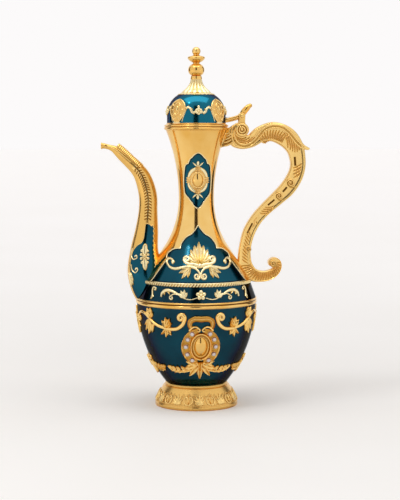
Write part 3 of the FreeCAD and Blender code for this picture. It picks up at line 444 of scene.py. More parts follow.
def addStroke(shape, put, path, width, height, section=roundSection, closed=False, under=0.3):
    # Ridge along a path. Its half width and height are numbers or functions of the share along it.
    count = len(path)
    rings = []
    for at in range(count):
        before = path[(at - 1) % count] if closed else path[max(at - 1, 0)]
        after = path[(at + 1) % count] if closed else path[min(at + 1, count - 1)]
        run, rise = after[0] - before[0], after[1] - before[1]
        size = hypot(run, rise) or 1e-9
        side = (-rise / size, run / size)
        share = at / count if closed else at / (count - 1)
        half = width(share) if callable(width) else width
        tall = height(share) if callable(height) else height
        x, y = path[at][:2]
        ring = []
        for out, up, *tone in section:
            point = put(x + side[0] * half * out, y + side[1] * half * out, tall * up)
            # The painted light follows the height unless the section gives it: painted highlight on the
            # crest, painted shade at the foot and on the buried underside.
            ring.append(addPoint(shape, point, tone[0] if tone else max(up, 0.0)))
        ring.append(addPoint(shape, put(x, y, -under), 0.0))
        rings.append(ring)
    if closed:
        addRings(shape, [*rings, rings[0]])
    else:
        addCapped(shape, rings, [put(*path[at][:2], 0.0) for at in (0, -1)], 0.2)


def addDome(shape, put, centre, wide, tall, height, count=16, rows=knobRows):
    rings = []
    for share, up in rows:
        # Painted highlight on the top of each dome, painted shade at its foot.
        rings.append([addPoint(shape, put(x, y, height * up), max(up, 0.0))
            for x, y in ellipsePath(centre, wide * share, tall * share, count)])
    rings.append([addPoint(shape, put(*centre, height), 1.0)])
    addRings(shape, [[addPoint(shape, put(*centre, -0.3 * height), 0.0)], *rings])


def granuleStamp(radius, height):
    stamp = newShape()
    addDome(stamp, onPaper, (0.0, 0.0), radius, radius, height, 8, granuleRows)
    return stamp


# Volute: a coil of a raised band over a bed painted dark as shade, with a round eye, as shares of its
# radius
coil = {"turn": 470, "steps": 40, "shrink": 0.7, "band": (0.24, 0.17), "eye": 0.25,
    "eyeTall": 1.3, "bed": (0.6, 0.06, 0.3, 0.12)}


def addVolute(shape, put, eye, radius, start, hand, height):
    # Starts at its outer end, at an angle in degrees. Hand is 1 to the left.
    spacing, proud, under, tone = coil["bed"]
    addField(shape, put, ellipsePath(eye, radius, radius, 24), radius * spacing, proud, under, tone)
    steps = coil["steps"]
    path = []
    for step in range(steps + 1):
        turn = radians(start + hand * coil["turn"] * step / steps)
        reach = radius * (1 - coil["shrink"] * step / steps)
        path.append(roundPoint(eye, turn, reach))
    outer, inner = (radius * share for share in coil["band"])
    addStroke(shape, put, path, taper(outer, inner), height)
    ball = radius * coil["eye"]
    addDome(shape, put, eye, ball, ball, height * coil["eyeTall"], 10)


def addLeaf(shape, put, base, heading, length, width, height, bend=0.0, section=leafSection, peak=0.45):
    # Pointed leaf from its base. Heading is in degrees from the right, and bend turns it on its way.
    path, turn = [base], radians(heading)
    steps = 8
    for _ in range(steps):
        path.append(roundPoint(path[-1], turn, length / steps))
        turn += radians(bend) / steps
    addStroke(shape, put, path, swell(width, peak=peak), height, section)


def addFan(shape, put, fan):
    # Leaves from one point. Each row is (heading, length, half width, bend).
    for heading, length, half, bend in fan["leaves"]:
        addLeaf(shape, put, fan["at"], heading, length, half, fan["tall"], bend,
            fan.get("section", leafSection), fan.get("peak", 0.45))


def addScroll(shape, put, scroll):
    # Stem through a few points. A curl at its end is (radius, turns, hand, share left at the eye).
    path = smoothPath(scroll["points"], 6)
    path[-1] = scroll.get("kink", path[-1])
    if "curl" in scroll:
        path = curlOn(path, *scroll["curl"])
    addStroke(shape, put, path, scroll["half"], scroll["tall"], scroll.get("section", roundSection))


def addWork(shape, put, work):
    # All stems, leaves and knobs of one ornament.
    for scroll in work.get("scrolls", ()):
        addScroll(shape, put, scroll)
    for fan in work.get("fans", ()):
        addFan(shape, put, fan)
    for knob in work.get("knobs", ()):
        addDome(shape, put, *knob)


def addPair(shape, put, work):
    for hand in (1, -1):
        addWork(shape, mirrored(put, hand), work)


def evenFan(at, heading, length, spread, count, half, tall, bend=0.0, peak=0.45):
    # One fan for each leaf of a spray, which is longest and highest in the middle.
    fans = []
    for step in range(count):
        lean = (step / (count - 1) - 0.5) * 2
        leaf = (heading - lean * spread, length * (1 - 0.28 * lean * lean), half, -bend * lean)
        fans.append({"at": at, "tall": tall * (1 - 0.2 * abs(lean)), "peak": peak, "leaves": [leaf]})
    return fans


# Rosette: petals round a higher heart, as shares of its radius
rosette = {"petalAt": 0.62, "petal": 0.42, "heart": 0.32, "heartTall": 1.5, "around": 12}


def addRosette(shape, put, centre, reach, petals, height):
    for step in range(petals):
        turn = radians(90 + 360 * step / petals)
        at = roundPoint(centre, turn, reach * rosette["petalAt"])
        petal = reach * rosette["petal"]
        addDome(shape, put, at, petal, petal, height, rosette["around"])
    heart = reach * rosette["heart"]
    addDome(shape, put, centre, heart, heart, height * rosette["heartTall"], rosette["around"])


def addField(shape, put, outline, spacing, proud, under, paintedLight=0.5):
    # Plate that follows the face inside an outline.
    low = [min(point[k] for point in outline) for k in (0, 1)]
    high = [max(point[k] for point in outline) for k in (0, 1)]
    flat = [Vector(point) for point in outline]
    across = int((high[0] - low[0]) / spacing)
    up = int((high[1] - low[1]) / spacing)
    for i in range(1, across):
        for j in range(1, up):
            flat.append(Vector((low[0] + i * spacing, low[1] + j * spacing)))
    rim = [(at, (at + 1) % len(outline)) for at in range(len(outline))]
    made = delaunay_2d_cdt(flat, rim, [], 1, 1e-4)
    points, faces, origins = made[0], made[2], made[3]
    numberOf = {source: at for at, sources in enumerate(origins) for source in sources}
    top = [addPoint(shape, put(point.x, point.y, proud), paintedLight) for point in points]
    base = [addPoint(shape, put(point.x, point.y, -under), paintedLight) for point in points]
    for face in faces:
        shape["faces"].append([top[at] for at in face])
        shape["faces"].append([base[at] for at in reversed(face)])
    for start, end in rim:
        a, b = numberOf[start], numberOf[end]
        shape["faces"].append([top[a], base[a], base[b], top[b]])


def turnPiece(outline, name, material, body, stands=(), crease=40, count=128, ripple=None, paintedLight=0.5):
    # Closed outline of (radius, height) turned round the axis. Ripple(angle, row) is a share of
    # the radius.
    shape, rings = newShape(), []
    for row, (radius, height) in enumerate(outline):
        if radius < 1e-6:
            rings.append([addPoint(shape, (0.0, 0.0, height), paintedLight)])
            continue
        ring = []
        for step in range(count):
            turn = 2 * pi * step / count
            reach = radius * (ripple(turn, row) if ripple else 1.0)
            ring.append(addPoint(shape, (reach * sin(turn), -reach * cos(turn), height), paintedLight))
        rings.append(ring)
    if outline[0][0] > 1e-6 or outline[-1][0] > 1e-6:
        rings.append(rings[0])
    addRings(shape, rings)
    finishShape(shape, name, material, body, stands, crease)


# Copies of one small shape, placed by Geometry Nodes
def copiesTree():
    tree = bpy.data.node_groups.new("copiesOnPlaces", "GeometryNodeTree")
    tree.is_modifier = True
    for name, kind in (("Places", "NodeSocketGeometry"), ("Stamp", "NodeSocketObject"),
            ("Scale", "NodeSocketFloat"), ("Finish", "NodeSocketMaterial")):
        tree.interface.new_socket(name, in_out="INPUT", socket_type=kind)
    tree.interface.new_socket("Copies", in_out="OUTPUT", socket_type="NodeSocketGeometry")
    given = addNode(tree, "NodeGroupInput").outputs
    stamp = addNode(tree, "GeometryNodeObjectInfo", links={"Object": given["Stamp"]})
    read = {}
    for name, kind in (("outward", "FLOAT_VECTOR"), ("heading", "FLOAT_VECTOR"), ("size", "FLOAT")):
        read[name] = addNode(tree, "GeometryNodeInputNamedAttribute", settings={"data_type": kind},
            values={"Name": name}).outputs["Attribute"]
    turn = addNode(tree, "FunctionNodeAxesToRotation",
        settings={"primary_axis": "Z", "secondary_axis": "X"},
        links={"Primary Axis": read["outward"], "Secondary Axis": read["heading"]})
    scale = addNode(tree, "ShaderNodeMath", settings={"operation": "MULTIPLY"},
        links={0: given["Scale"], 1: read["size"]})
    copies = addNode(tree, "GeometryNodeInstanceOnPoints",
        links={"Points": given["Places"], "Instance": stamp.outputs["Geometry"],
            "Rotation": turn.outputs["Rotation"], "Scale": scale.outputs["Value"]})
    real = addNode(tree, "GeometryNodeRealizeInstances", links={"Geometry": copies.outputs["Instances"]})
    coated = addNode(tree, "GeometryNodeSetMaterial",
        links={"Geometry": real.outputs["Geometry"], "Material": given["Finish"]})
    addNode(tree, "NodeGroupOutput", links={"Copies": coated.outputs["Geometry"]})
    return tree


copiesNodes = copiesTree()


def placeOn(put, across, up, size=1.0, turn=0.0):
    # A place for a copy: where, which way is out, which way its x axis runs, and its size.
    here = Vector(put(across, up, 0.0))
    outward = Vector(put(across, up, 1.0)) - here
    ahead = radians(turn)
    heading = Vector(put(*roundPoint((across, up), ahead, 0.1), 0.0)) - here
    return here, outward.normalized(), heading.normalized(), size


def addCopies(stampShape, places, name, material, body, stands=(), crease=None):
    stamp = bpy.data.objects.new(name + "Stamp", meshFrom(stampShape, name + "Stamp"))
    holder = bpy.data.objects.new(name + "Places", bpy.data.meshes.new(name + "Places"))
    holder.data.from_pydata([place[0] * mm for place in places], [], [])
    for key, at in (("outward", 1), ("heading", 2)):
        layer = holder.data.attributes.new(key, "FLOAT_VECTOR", "POINT")
        layer.data.foreach_set("vector", [value for place in places for value in place[at]])
    sizes = holder.data.attributes.new("size", "FLOAT", "POINT")
    sizes.data.foreach_set("value", [place[3] for place in places])
    for made in (stamp, holder):
        bpy.context.scene.collection.objects.link(made)
    modifier = holder.modifiers.new("copies", "NODES")
    modifier.node_group = copiesNodes
    sockets = copiesNodes.interface.items_tree
    identifier = {item.name: item.identifier for item in sockets if item.in_out == "INPUT"}
    modifier[identifier["Stamp"]] = stamp
    modifier[identifier["Scale"]] = 1.0
    modifier[identifier["Finish"]] = material
    evaluated = holder.evaluated_get(bpy.context.evaluated_depsgraph_get())
    mesh = bpy.data.meshes.new_from_object(evaluated)
    mesh.name = name
    holder.modifiers.clear()
    for spent in (holder, stamp):
        bpy.data.objects.remove(spent)
    return addPiece(mesh, name, material, body, stands, crease)


# Body outlines, from the table up
body = {
    "footRadius": 33.0, "footRim": 3.0, "footBulge": 0.6, "footTop": (24.5, 18.5), "footWall": 2.6,
    "footWeb": 16.1, "boltRadius": 2.5, "bellyBase": 18.6, "bellyPaintedShade": 0.22, "floor": 22.5,
    "wall": 1.8, "waist": (47.6, 84.5), "bandHalf": 2.3, "bandProud": 0.9, "bandPaintedShade": 0.2,
    "bandGlaze": 0.65, "bandSeat": 0.7,
    "rope": (43.2, 100.0), "ropeWire": 0.9, "shoulderTop": (25.2, 128.0), "neck": (14.1, 166.0),
    "mouth": (24.2, 219.5), "around": 160,
}
footFlare = bowedPath((body["footRadius"], body["footRim"]), body["footTop"], -body["footBulge"], 16)
bellyLine = uprightArc(body["waist"], body["footTop"], 40)[::-1]
bandTop = (body["rope"][0], body["rope"][1] - body["ropeWire"])
bandLine = [(body["waist"][0], body["waist"][1] + body["bandHalf"]), bandTop]
neckLine = uprightArc(body["neck"], body["shoulderTop"], 30)[::-1]
neckLine += uprightArc(body["neck"], body["mouth"], 40)[1:]
upperLine = [(body["rope"][0], body["rope"][1] + body["ropeWire"])] + neckLine
footFace = turnedFace(footFlare)
bellyFace = turnedFace(bellyLine)
bandFace = turnedFace(bandLine)
upperFace = turnedFace(upperLine)


def inset(line, depth):
    return [(radius - depth, height) for radius, height in line]


# Foot: a flare between a rolled edge and a collar under the belly, hollow up to a web
footRing = {"edge": 32.6, "edgeFrom": 0.2, "edgeProud": 0.5, "flareTop": 2.7,
    "collar": [(0.2, -2.6), (0.5, -1.8), (0.5, -0.5), (0.0, 0.0)]}


def makeFoot():
    edge, top = footRing["edge"], body["footTop"]
    rim = [(body["footRadius"], 0.0)]
    rim += beadArc((edge, footRing["edgeFrom"]), (edge, body["footRim"]), footRing["edgeProud"])
    flare = [row for row in footFlare if row[1] < top[1] - footRing["flareTop"]]
    collar = [(top[0] + out, top[1] + up) for out, up in footRing["collar"]]
    hollow = [(body["boltRadius"], top[1]), (body["boltRadius"], body["footWeb"]),
        (top[0] - body["footWall"], body["footWeb"]), (body["footRadius"] - body["footWall"], 0.0)]
    turnPiece(rim + flare + collar + hollow, "footShell", softGold, "pot", ["foot"])


def makeBelly():
    inner = [row for row in inset(bellyLine, body["wall"]) if row[1] > body["floor"]][::-1]
    outline = [(0.0, body["bellyBase"])] + bellyLine + inner + [(0.0, body["floor"])]
    # The belly's enamel takes a low place on the painted-light ramp: painted shade.
    turnPiece(outline, "bellyShell", enamel, "pot", ["belly_bowl"], count=body["around"],
        paintedLight=body["bellyPaintedShade"])


# Waist band: two half-round beads with a groove between them, filled by a ring painted dark as shade
waistBand = {"edge": 0.2, "bead": 0.8, "tuck": 0.1, "beadEnds": (0.15, 0.9), "groove": (0.3, 0.75),
    "fill": (0.28, 0.77), "fillOut": (-0.2, 0.12), "around": 192}


def makeWaistBand():
    radius, height = body["waist"]
    half, proud, tuck = body["bandHalf"], body["bandProud"], waistBand["tuck"]
    edge, bead = radius + proud * waistBand["edge"], proud * waistBand["bead"]
    lowEnd, highStart = (height + up for up in waistBand["beadEnds"])
    line = [(radius - tuck, height - half), (edge, height - half)]
    line += beadArc((edge, height - half + tuck), (edge, lowEnd), bead)
    line += [(edge - tuck, height + up) for up in waistBand["groove"]]
    line += beadArc((edge, highStart), (edge, height + half - tuck), bead)
    line += [(edge, height + half), (radius - tuck, height + half)]
    around = waistBand["around"]
    turnPiece(line, "waistBand", goldPlate, "pot", ["waist_band"], 50, around)
    # The ring in the groove takes the darkest colour of the relief ramp: painted shade.
    low, high = (height + up for up in waistBand["fill"])
    inner, outer = (edge + out for out in waistBand["fillOut"])
    groove = [(inner, low), (outer, low), (outer, high), (inner, high)]
    turnPiece(groove, "waistGroove", castGold, "pot", (), None, around, paintedLight=0.0)


def makeUpperShell():
    radius, height = body["waist"]
    seat = radius - body["bandSeat"]  # the enamel of the band lies in a shallow seat
    under = [(radius - body["wall"], height), (seat, height), (seat, height + body["bandHalf"])]
    ring = [(bandTop[0] - body["bandSeat"], bandTop[1]), bandTop]
    inner = inset(upperLine, body["wall"])[::-1]
    wall = under + ring + upperLine + inner
    turnPiece(wall, "neckShell", goldPlate, "pot", ["upper_shell"], count=body["around"])
    glaze = inset(bandLine, body["bandGlaze"])[::-1] + bandLine
    # The band's enamel takes the lowest place on the painted-light ramp: painted shade.
    turnPiece(glaze, "bandEnamel", enamel, "pot", ["band_enamel"], count=body["around"],
        paintedLight=body["bandPaintedShade"])


# Rope ring: short slanting strands that overlap round the shoulder
ropeRing = {"strands": 112, "lean": 48.0, "long": 1.75, "thick": 0.74, "out": 0.25, "rows": 4,
    "blunt": 0.03}


def makeRope():
    stamp = newShape()
    long, thick, rows = ropeRing["long"], ropeRing["thick"], ropeRing["rows"]
    turns = [radians(turn) for turn in range(0, 360, 45)]
    rings = []
    for x in (long * at / rows for at in range(-rows, rows + 1)):
        girth = thick * sqrt(max(1 - (x / long) ** 2, ropeRing["blunt"]))
        # Painted highlight on the outer side of each strand, painted shade on its inner side and at its
        # ends.
        rings.append([addPoint(stamp, (x, girth * cos(turn), girth * sin(turn)),
            max(sin(turn), 0.0)) for turn in turns])
    addCapped(stamp, rings, [(x, 0.0, 0.0) for x in (-long, long)], 0.0)
    radius, height = body["rope"][0] + ropeRing["out"], body["rope"][1]
    put = patchOn(turnedFace([(radius, height - 1), (radius, height + 1)]), 0.0, height)
    count = ropeRing["strands"]
    pitch = 2 * pi * radius / count
    places = [placeOn(put, pitch * at, 0.0, 1.0, ropeRing["lean"]) for at in range(count)]
    addCopies(stamp, places, "ropeRing", paleGold, "pot", ["rope_ring"])


mouthCollar = {"inside": 22.4, "foot": [(24.2, 219.5), (24.9, 219.8)], "top": (24.6, 222.1),
    "bead": ((24.9, 219.9), (24.9, 222.0), 0.75)}


def makeCollar():
    inside, foot, top = mouthCollar["inside"], mouthCollar["foot"], mouthCollar["top"]
    line = [(inside, foot[0][1])] + foot + beadArc(*mouthCollar["bead"])
    line += [top, (inside, top[1])]
    turnPiece(line, "mouthCollar", goldPlate, "pot", ["mouth_collar"])


# Lid: an enamelled dome with a gold lining, on a moulded rim
lid = {"seat": 222.1, "base": 224.4, "straight": 4.0, "bend": 232.0, "radius": 23.3, "crownFlat": 5.3,
    "crown": 250.0, "wall": 1.2, "glaze": 0.5, "overlap": 0.05, "tone": 0.7}
lidRim = {"inside": 21.1, "foot": (24.7, 0.1), "bead": (24.9, 0.2, 24.7, -0.5, 0.75),
    "step": [(24.3, -0.3), (24.0, -0.1)], "lip": (23.5, 23.35, 0.8, 0.25), "inner": 23.0}


def domeLine(grow=0.0):
    reach = lid["radius"] - lid["crownFlat"] + grow
    wall, steps = lid["radius"] + grow, 28
    rows = [(wall, lid["base"]), (wall, lid["base"] + lid["straight"])]
    for step in range(steps + 1):
        turn = radians(90 * step / steps)
        rows.append(roundPoint((lid["crownFlat"], lid["bend"]), turn, reach))
    return rows


domeFace = turnedFace(domeLine())


def makeDome():
    glaze, wall, crown = lid["glaze"], lid["wall"], lid["crown"]
    under = [(0.0, crown), (0.0, crown - glaze)] + domeLine(-glaze)[::-1]
    # The dome's enamel takes a high place on the painted-light ramp: a painted highlight.
    turnPiece(domeLine() + under, "lidDome", enamel, "lid", ["lid_dome"], paintedLight=lid["tone"])
    lining = domeLine(lid["overlap"] - glaze)
    lining += [(0.0, crown + lid["overlap"] - glaze), (0.0, crown - wall)] + domeLine(-wall)[::-1]
    turnPiece(lining, "lidLining", goldPlate, "lid")


def makeLidRim():
    base, seat, inside = lid["base"], lid["seat"], lidRim["inside"]
    radius, up = lidRim["foot"]
    line = [(inside, seat), (radius, seat + up)]
    lowRadius, lowUp, highRadius, highUp, proud = lidRim["bead"]
    line += beadArc((lowRadius, seat + lowUp), (highRadius, base + highUp), proud)
    line += [(radius, base + up) for radius, up in lidRim["step"]]
    lowRadius, highRadius, highUp, proud = lidRim["lip"]
    line += beadArc((lowRadius, base), (highRadius, base + highUp), proud, 6)
    line += [(lidRim["inner"], base), (inside, base)]
    turnPiece(line, "lidRim", goldPlate, "lid", ["lid_rim"], 50)


# Finial: a thin scalloped plate, a fluted bell with a petal edge, then a turned knop
finial = {
    "plate": (14.8, 247.3), "plateInset": 0.6,
    "plateEdge": [(-0.2, 0.0), (0.0, 0.35), (-0.2, 0.7), (-1.0, 0.95)],
    "plateTop": (11.0, 2.1), "plateRise": 3.2, "plateTone": 0.62, "scallops": 28, "scallopDeep": 0.03,
    "flutes": 14, "fluteDeep": 0.14, "fluteDeeper": 0.06, "fluteRound": 0.6, "bellTone": 0.7,
    "bellHollow": (-0.9, -0.5),
    "bell": [(11.9, 249.0), (11.3, 249.7), (10.1, 250.9), (8.3, 252.4), (6.8, 254.1), (5.7, 255.8),
        (5.0, 257.3), (4.6, 258.7), (4.4, 259.6)],
    "collar": [(4.4, 259.5), (4.65, 260.1), (4.5, 260.8), (4.35, 261.6), (4.3, 262.2)],
    "ball": (267.0, 6.5, 5.5, -60, 126, 18),
    "saucer": [(2.6, 272.1), (2.7, 272.6), (3.7, 273.2), (4.9, 273.9), (6.0, 274.9), (6.7, 275.9),
        (6.9, 276.6), (6.6, 277.3), (5.4, 277.8), (3.6, 278.3), (2.7, 278.7), (2.5, 279.0)],
    "tip": (281.7, 3.4, 3.4, -50, 140, 14), "bore": 2.0, "boreEnds": (259.4, 266.2), "around": 224,
}


def ballRows(height, wide, tall, first, sweep, steps):
    # Rows of (radius, height) up the side of a ball, from a first angle through a sweep in degrees.
    turns = [radians(first + sweep * step / steps) for step in range(steps + 1)]
    return [roundPoint((0.0, height), turn, wide, tall) for turn in turns]


def makeFinialPlate():
    reach, low = finial["plate"]
    bore, rim = finial["bore"], finial["plateEdge"]
    inside = [row for row in domeLine() if row[0] < reach - finial["plateInset"]]
    line = [(bore, lid["crown"] - 0.1)] + inside[::-1]
    first = len(line)
    radius, up = finial["plateTop"]
    line += [(reach + out, low + rise) for out, rise in rim]
    line += [(radius, low + up), (bore, low + finial["plateRise"])]

    def scallops(turn, row):
        deep = finial["scallopDeep"] if first <= row < first + len(rim) else 0.0
        return 1 - deep * abs(cos(turn * finial["scallops"] / 2))
    turnPiece(line, "finialPlate", paleGold, "lid", (), 50, finial["around"], scallops,
        finial["plateTone"])


def makeFinialBell():
    bore, outer = finial["bore"], smoothPath(finial["bell"], 5)
    rim, (back, drop) = outer[0], finial["bellHollow"]
    line = [(bore, outer[-1][1]), (bore, rim[1] - 0.2), (rim[0] + back, rim[1] + drop)]
    first = len(line)

    def flutes(turn, row):
        if row < first:
            return 1.0
        share = (row - first) / (len(outer) - 1)
        deep = finial["fluteDeep"] + finial["fluteDeeper"] * sin(pi * share)
        return 1 - deep * (1 - abs(sin(turn * finial["flutes"] / 2)) ** finial["fluteRound"])
    turnPiece(line + outer, "finialBell", paleGold, "lid", ["finial_bell"], 40, finial["around"],
        flutes, finial["bellTone"])


def makeFinialKnop():
    bore, (low, high) = finial["bore"], finial["boreEnds"]
    line = [(bore, low)] + finial["collar"] + ballRows(*finial["ball"])
    line += smoothPath(finial["saucer"], 3) + ballRows(*finial["tip"])
    line[-1] = (0.0, line[-1][1])
    line += [(0.0, high), (bore, high)]
    turnPiece(line, "finialKnop", goldPlate, "lid", ["finial_knop"], 35, 64)


# Spout: a tube along a leaning S that narrows to a beak, with a lip round its end
spout = {
    "reach": 41.0, "rise": 94.4, "startX": 34.2, "startZ": 114.0, "root": 13.6, "throat": 7.3,
    "tip": 2.6, "wall": 0.9, "around": 48, "lip": [(0.2, 0.3), (0.7, 0.35), (1.1, 0.0), (1.0, -0.7)],
    "line": [(-0.02, -0.26, 1.20), (0.10, -0.18, 1.16), (0.17, -0.045, 1.07), (0.18, 0.11, 0.62),
        (0.132, 0.275, 0.31), (0.105, 0.44, 0.04), (0.107, 0.57, 0.0), (0.185, 0.70, -0.12),
        (0.30, 0.785, -0.33), (0.463, 0.853, -0.53), (0.605, 0.907, -0.66), (0.741, 0.9555, -0.915),
        (0.844, 0.975, -1.12), (0.946, 0.986, -1.10), (0.985, 0.987, -1.06)],
}


def spoutRows():
    rows = []
    for out, climb, share in spout["line"]:
        spread = spout["root"] - spout["throat"] if share >= 0 else spout["throat"] - spout["tip"]
        rows.append((-(spout["startX"] + spout["reach"] * out), spout["startZ"] + spout["rise"] * climb,
            spout["throat"] + spread * share))
    return smoothPath(rows, 10)


def middleLine(rows):
    # Rows of a middle line, with the length to each and its upright direction there.
    lengths, sides = [0.0], []
    for low, high in zip(rows, rows[1:]):
        lengths.append(lengths[-1] + dist(low[:2], high[:2]))
    for at in range(len(rows)):
        low, high = rows[max(at - 1, 0)], rows[min(at + 1, len(rows) - 1)]
        run, rise = high[0] - low[0], high[1] - low[1]
        size = hypot(run, rise)
        sides.append((rise / size, -run / size))
    return rows, lengths, sides


def rowAt(line, along):
    # Row and upright direction at a length from the start of a middle line.
    rows, lengths, sides = line
    at = 0
    while at < len(lengths) - 2 and lengths[at + 1] < along:
        at += 1
    part = (along - lengths[at]) / max(lengths[at + 1] - lengths[at], 1e-9)
    row = [a + (b - a) * part for a, b in zip(rows[at], rows[at + 1])]
    side = [a + (b - a) * part for a, b in zip(sides[at], sides[at + 1])]
    return row, side


spoutLine = middleLine(spoutRows())


def makeSpout():
    rows, _, sides = spoutLine
    shape = newShape()
    turns = [2 * pi * step / spout["around"] for step in range(spout["around"])]

    def girth(x, z, reach, side):
        return [addPoint(shape, (x + side[0] * reach * cos(turn), -reach * sin(turn),
            z + side[1] * reach * cos(turn))) for turn in turns]
    outer = [girth(x, z, radius, side) for (x, z, radius), side in zip(rows, sides)]
    x, z, radius = rows[-1]
    side = sides[-1]
    lip = [girth(x - side[1] * ahead, z + side[0] * ahead, radius + grow, side)
        for ahead, grow in spout["lip"]]
    inner = [girth(x, z, radius - spout["wall"], side)
        for (x, z, radius), side in zip(rows[::-1], sides[::-1])]
    addRings(shape, [*outer, *lip, *inner, outer[0]])
    finishShape(shape, "spoutTube", castGold, "pot", ["spout"], 50)


def spoutSkin(face):
    # The spout's skin: across runs round it from its side towards the pot, along from its root.
    def put(across, along, proud):
        (x, z, radius), side = rowAt(spoutLine, along)
        turn = across / radius
        up, out = (radius + proud) * sin(turn), (radius + proud) * cos(turn)
        return x + side[0] * up, face * out, z + side[1] * up
    return put


# Comb on top of the beak: a rippled crest that rises towards the tip and ends in a step. It runs
# between two lengths from the lip, and its base angle grows from the first to the second.
comb = {"from": 34.5, "to": 10.4, "ripples": 17, "perRipple": 8, "arcs": 10, "base": (24.0, 42.0),
    "step": 0.45, "tall": 3.0, "climb": 1.5, "crown": 1.3, "groove": (0.74, 0.26), "tone": (0.2, 0.75),
    "sunk": 0.3}


def makeSpoutComb():
    shape, rings = newShape(), []
    count, arcs = comb["ripples"] * comb["perRipple"], comb["arcs"]
    first, last = (spoutLine[1][-1] - comb[end] for end in ("from", "to"))
    for at in range(count + 1):
        share = at / count
        (x, z, radius), side = rowAt(spoutLine, first + (last - first) * share)
        crest = 0.5 - 0.5 * cos(2 * pi * comb["ripples"] * share)
        # Painted light: painted shade in the troughs between the ripples, painted highlight on their
        # crests, darkest on the buried inside.
        ripple, tone = (low + more * crest for low, more in (comb["groove"], comb["tone"]))
        base = comb["base"][0] + (comb["base"][1] - comb["base"][0]) * share
        climb = comb["tall"] * share ** comb["climb"]
        outer, inner = [], []
        for step in range(arcs + 1):
            turn = radians(base + (180 - 2 * base) * step / arcs)
            crown = sin(pi * step / arcs) ** comb["crown"]
            proud = (comb["step"] + climb * crown) * ripple
            for ring, reach, paintedLight in ((outer, radius + proud, tone), (inner, radius - comb["sunk"], 0.0)):
                up, out = reach * sin(turn), reach * cos(turn)
                ring.append(((x + side[0] * up, -out, z + side[1] * up), paintedLight))
        rings.append([addPoint(shape, point, paintedLight) for point, paintedLight in outer + inner[::-1]])
    for ring in (rings[0], rings[-1]):  # closed by strips, so that the bore stays open
        for step in range(arcs):
            across = 2 * arcs - step
            shape["faces"].append([ring[step], ring[step + 1], ring[across], ring[across + 1]])
    addRings(shape, rings)
    finishShape(shape, "spoutComb", castGold, "pot", (), 40)


# Handle: a flat S with moulded edges, a scroll at the hinge, a spur at the bend, a curl at the foot.
# Rows of the arm are shares of reach and width, those of the spur (x, height, half depth, half width).
handle = {
    "reach": 57.2, "width": 12.6, "thick": 5.0, "upperFrom": (24.2, 219.5), "lowerFrom": (43.2, 100.0),
    "upper": [(-0.13, -0.14, .52), (0.06, -0.118, .40), (0.14, -0.145, .46), (0.23, -0.16, .47),
        (0.345, -0.145, .42), (0.475, -0.057, .52), (0.655, -0.022, .63), (0.83, -0.092, .66),
        (0.95, -0.230, .58), (0.995, -0.385, .51), (0.997, -0.52, .49), (0.955, -0.655, .50),
        (0.855, -0.81, .50), (0.715, -0.945, .45), (0.56, -1.085, .40)],
    "lower": [(0.09, 0.855, .38), (-0.017, 0.67, .39), (-0.07, 0.47, .38), (-0.082, 0.31, .42),
        (-0.06, 0.175, .48), (0.035, 0.072, .43), (0.17, 0.046, .36), (0.276, 0.066, .33),
        (0.354, 0.115, .28), (0.394, 0.184, .23), (0.383, 0.247, .21), (0.332, 0.273, .195),
        (0.289, 0.247, .17), (0.292, 0.203, .13)],
    "section": [(1.0, 0.0), (0.985, 0.45), (0.94, 0.80), (0.87, 0.96), (0.79, 0.985), (0.71, 0.93),
        (0.67, 0.90), (0.4, 0.90), (0.0, 0.90)],
    "flat": 0.9, "scroll": (36.1, 219.8, 5.5), "scrollWide": 1.0, "curl": (61.4, 113.0, 2.9),
    "curlWide": 1.08, "hinge": (36.1, 230.8), "earRadius": 2.6, "slot": 2.3, "postFoot": (226.5, 223.0),
    "postWide": (0.9, 1.15), "rivet": (1.5, 0.7), "gussetWide": 0.97,
    "gusset": [(21.6, 212.0), (23.4, 219.2), (25.2, 220.9), (28.1, 222.9), (31.9, 225.2), (34.4, 225.6),
        (36.4, 219.0), (31.0, 216.6), (29.0, 214.0), (27.6, 209.4)],
    "spur": [(74.5, 218.4, 1.2, 4.4), (77.5, 215.6, 1.7, 4.7), (80.3, 212.0, 2.1, 4.6),
        (83.0, 208.7, 2.2, 4.2), (85.6, 206.4, 1.9, 3.4), (88.2, 205.2, 1.5, 2.6),
        (90.2, 204.7, 1.0, 1.5), (91.0, 204.6, 0.5, 0.8)],
}


def handleRows():
    rows = []
    reach, width = handle["reach"], handle["width"]
    for key in ("upper", "lower"):
        x, z = handle[key + "From"]
        for out, climb, share in handle[key]:
            rows.append((x + reach * out, z + reach * climb, width * share))
    return smoothPath(rows, 8)


handleLine = middleLine(handleRows())


def sideOf(face, thick=handle["thick"] * handle["flat"]):
    # Upright flat side of a plate: across is x and up is height. Face is -1 in front and 1 behind.
    return lambda across, up, proud: (across, face * (thick + proud), up)


def addBar(shape, rows):
    # Bar with rounded corners along rows of (x, height, half depth in the plane, half width).
    squareness, around = 2.6, 20
    rings = []
    for (x, z, half, wide), side in zip(rows, middleLine(rows)[2]):
        ring = []
        for step in range(around):
            turn = 2 * pi * step / around
            u, v = (copysign(abs(f(turn)) ** (2 / squareness), f(turn)) for f in (cos, sin))
            point = (x + side[0] * half * u, wide * v, z + side[1] * half * u)
            # Painted light: lighter on the two flat sides, darker round the edges between them.
            ring.append(addPoint(shape, point, 0.4 + 0.6 * abs(v)))
        rings.append(ring)
    addCapped(shape, rings, [(rows[at][0], 0.0, rows[at][1]) for at in (0, -1)], 0.6)


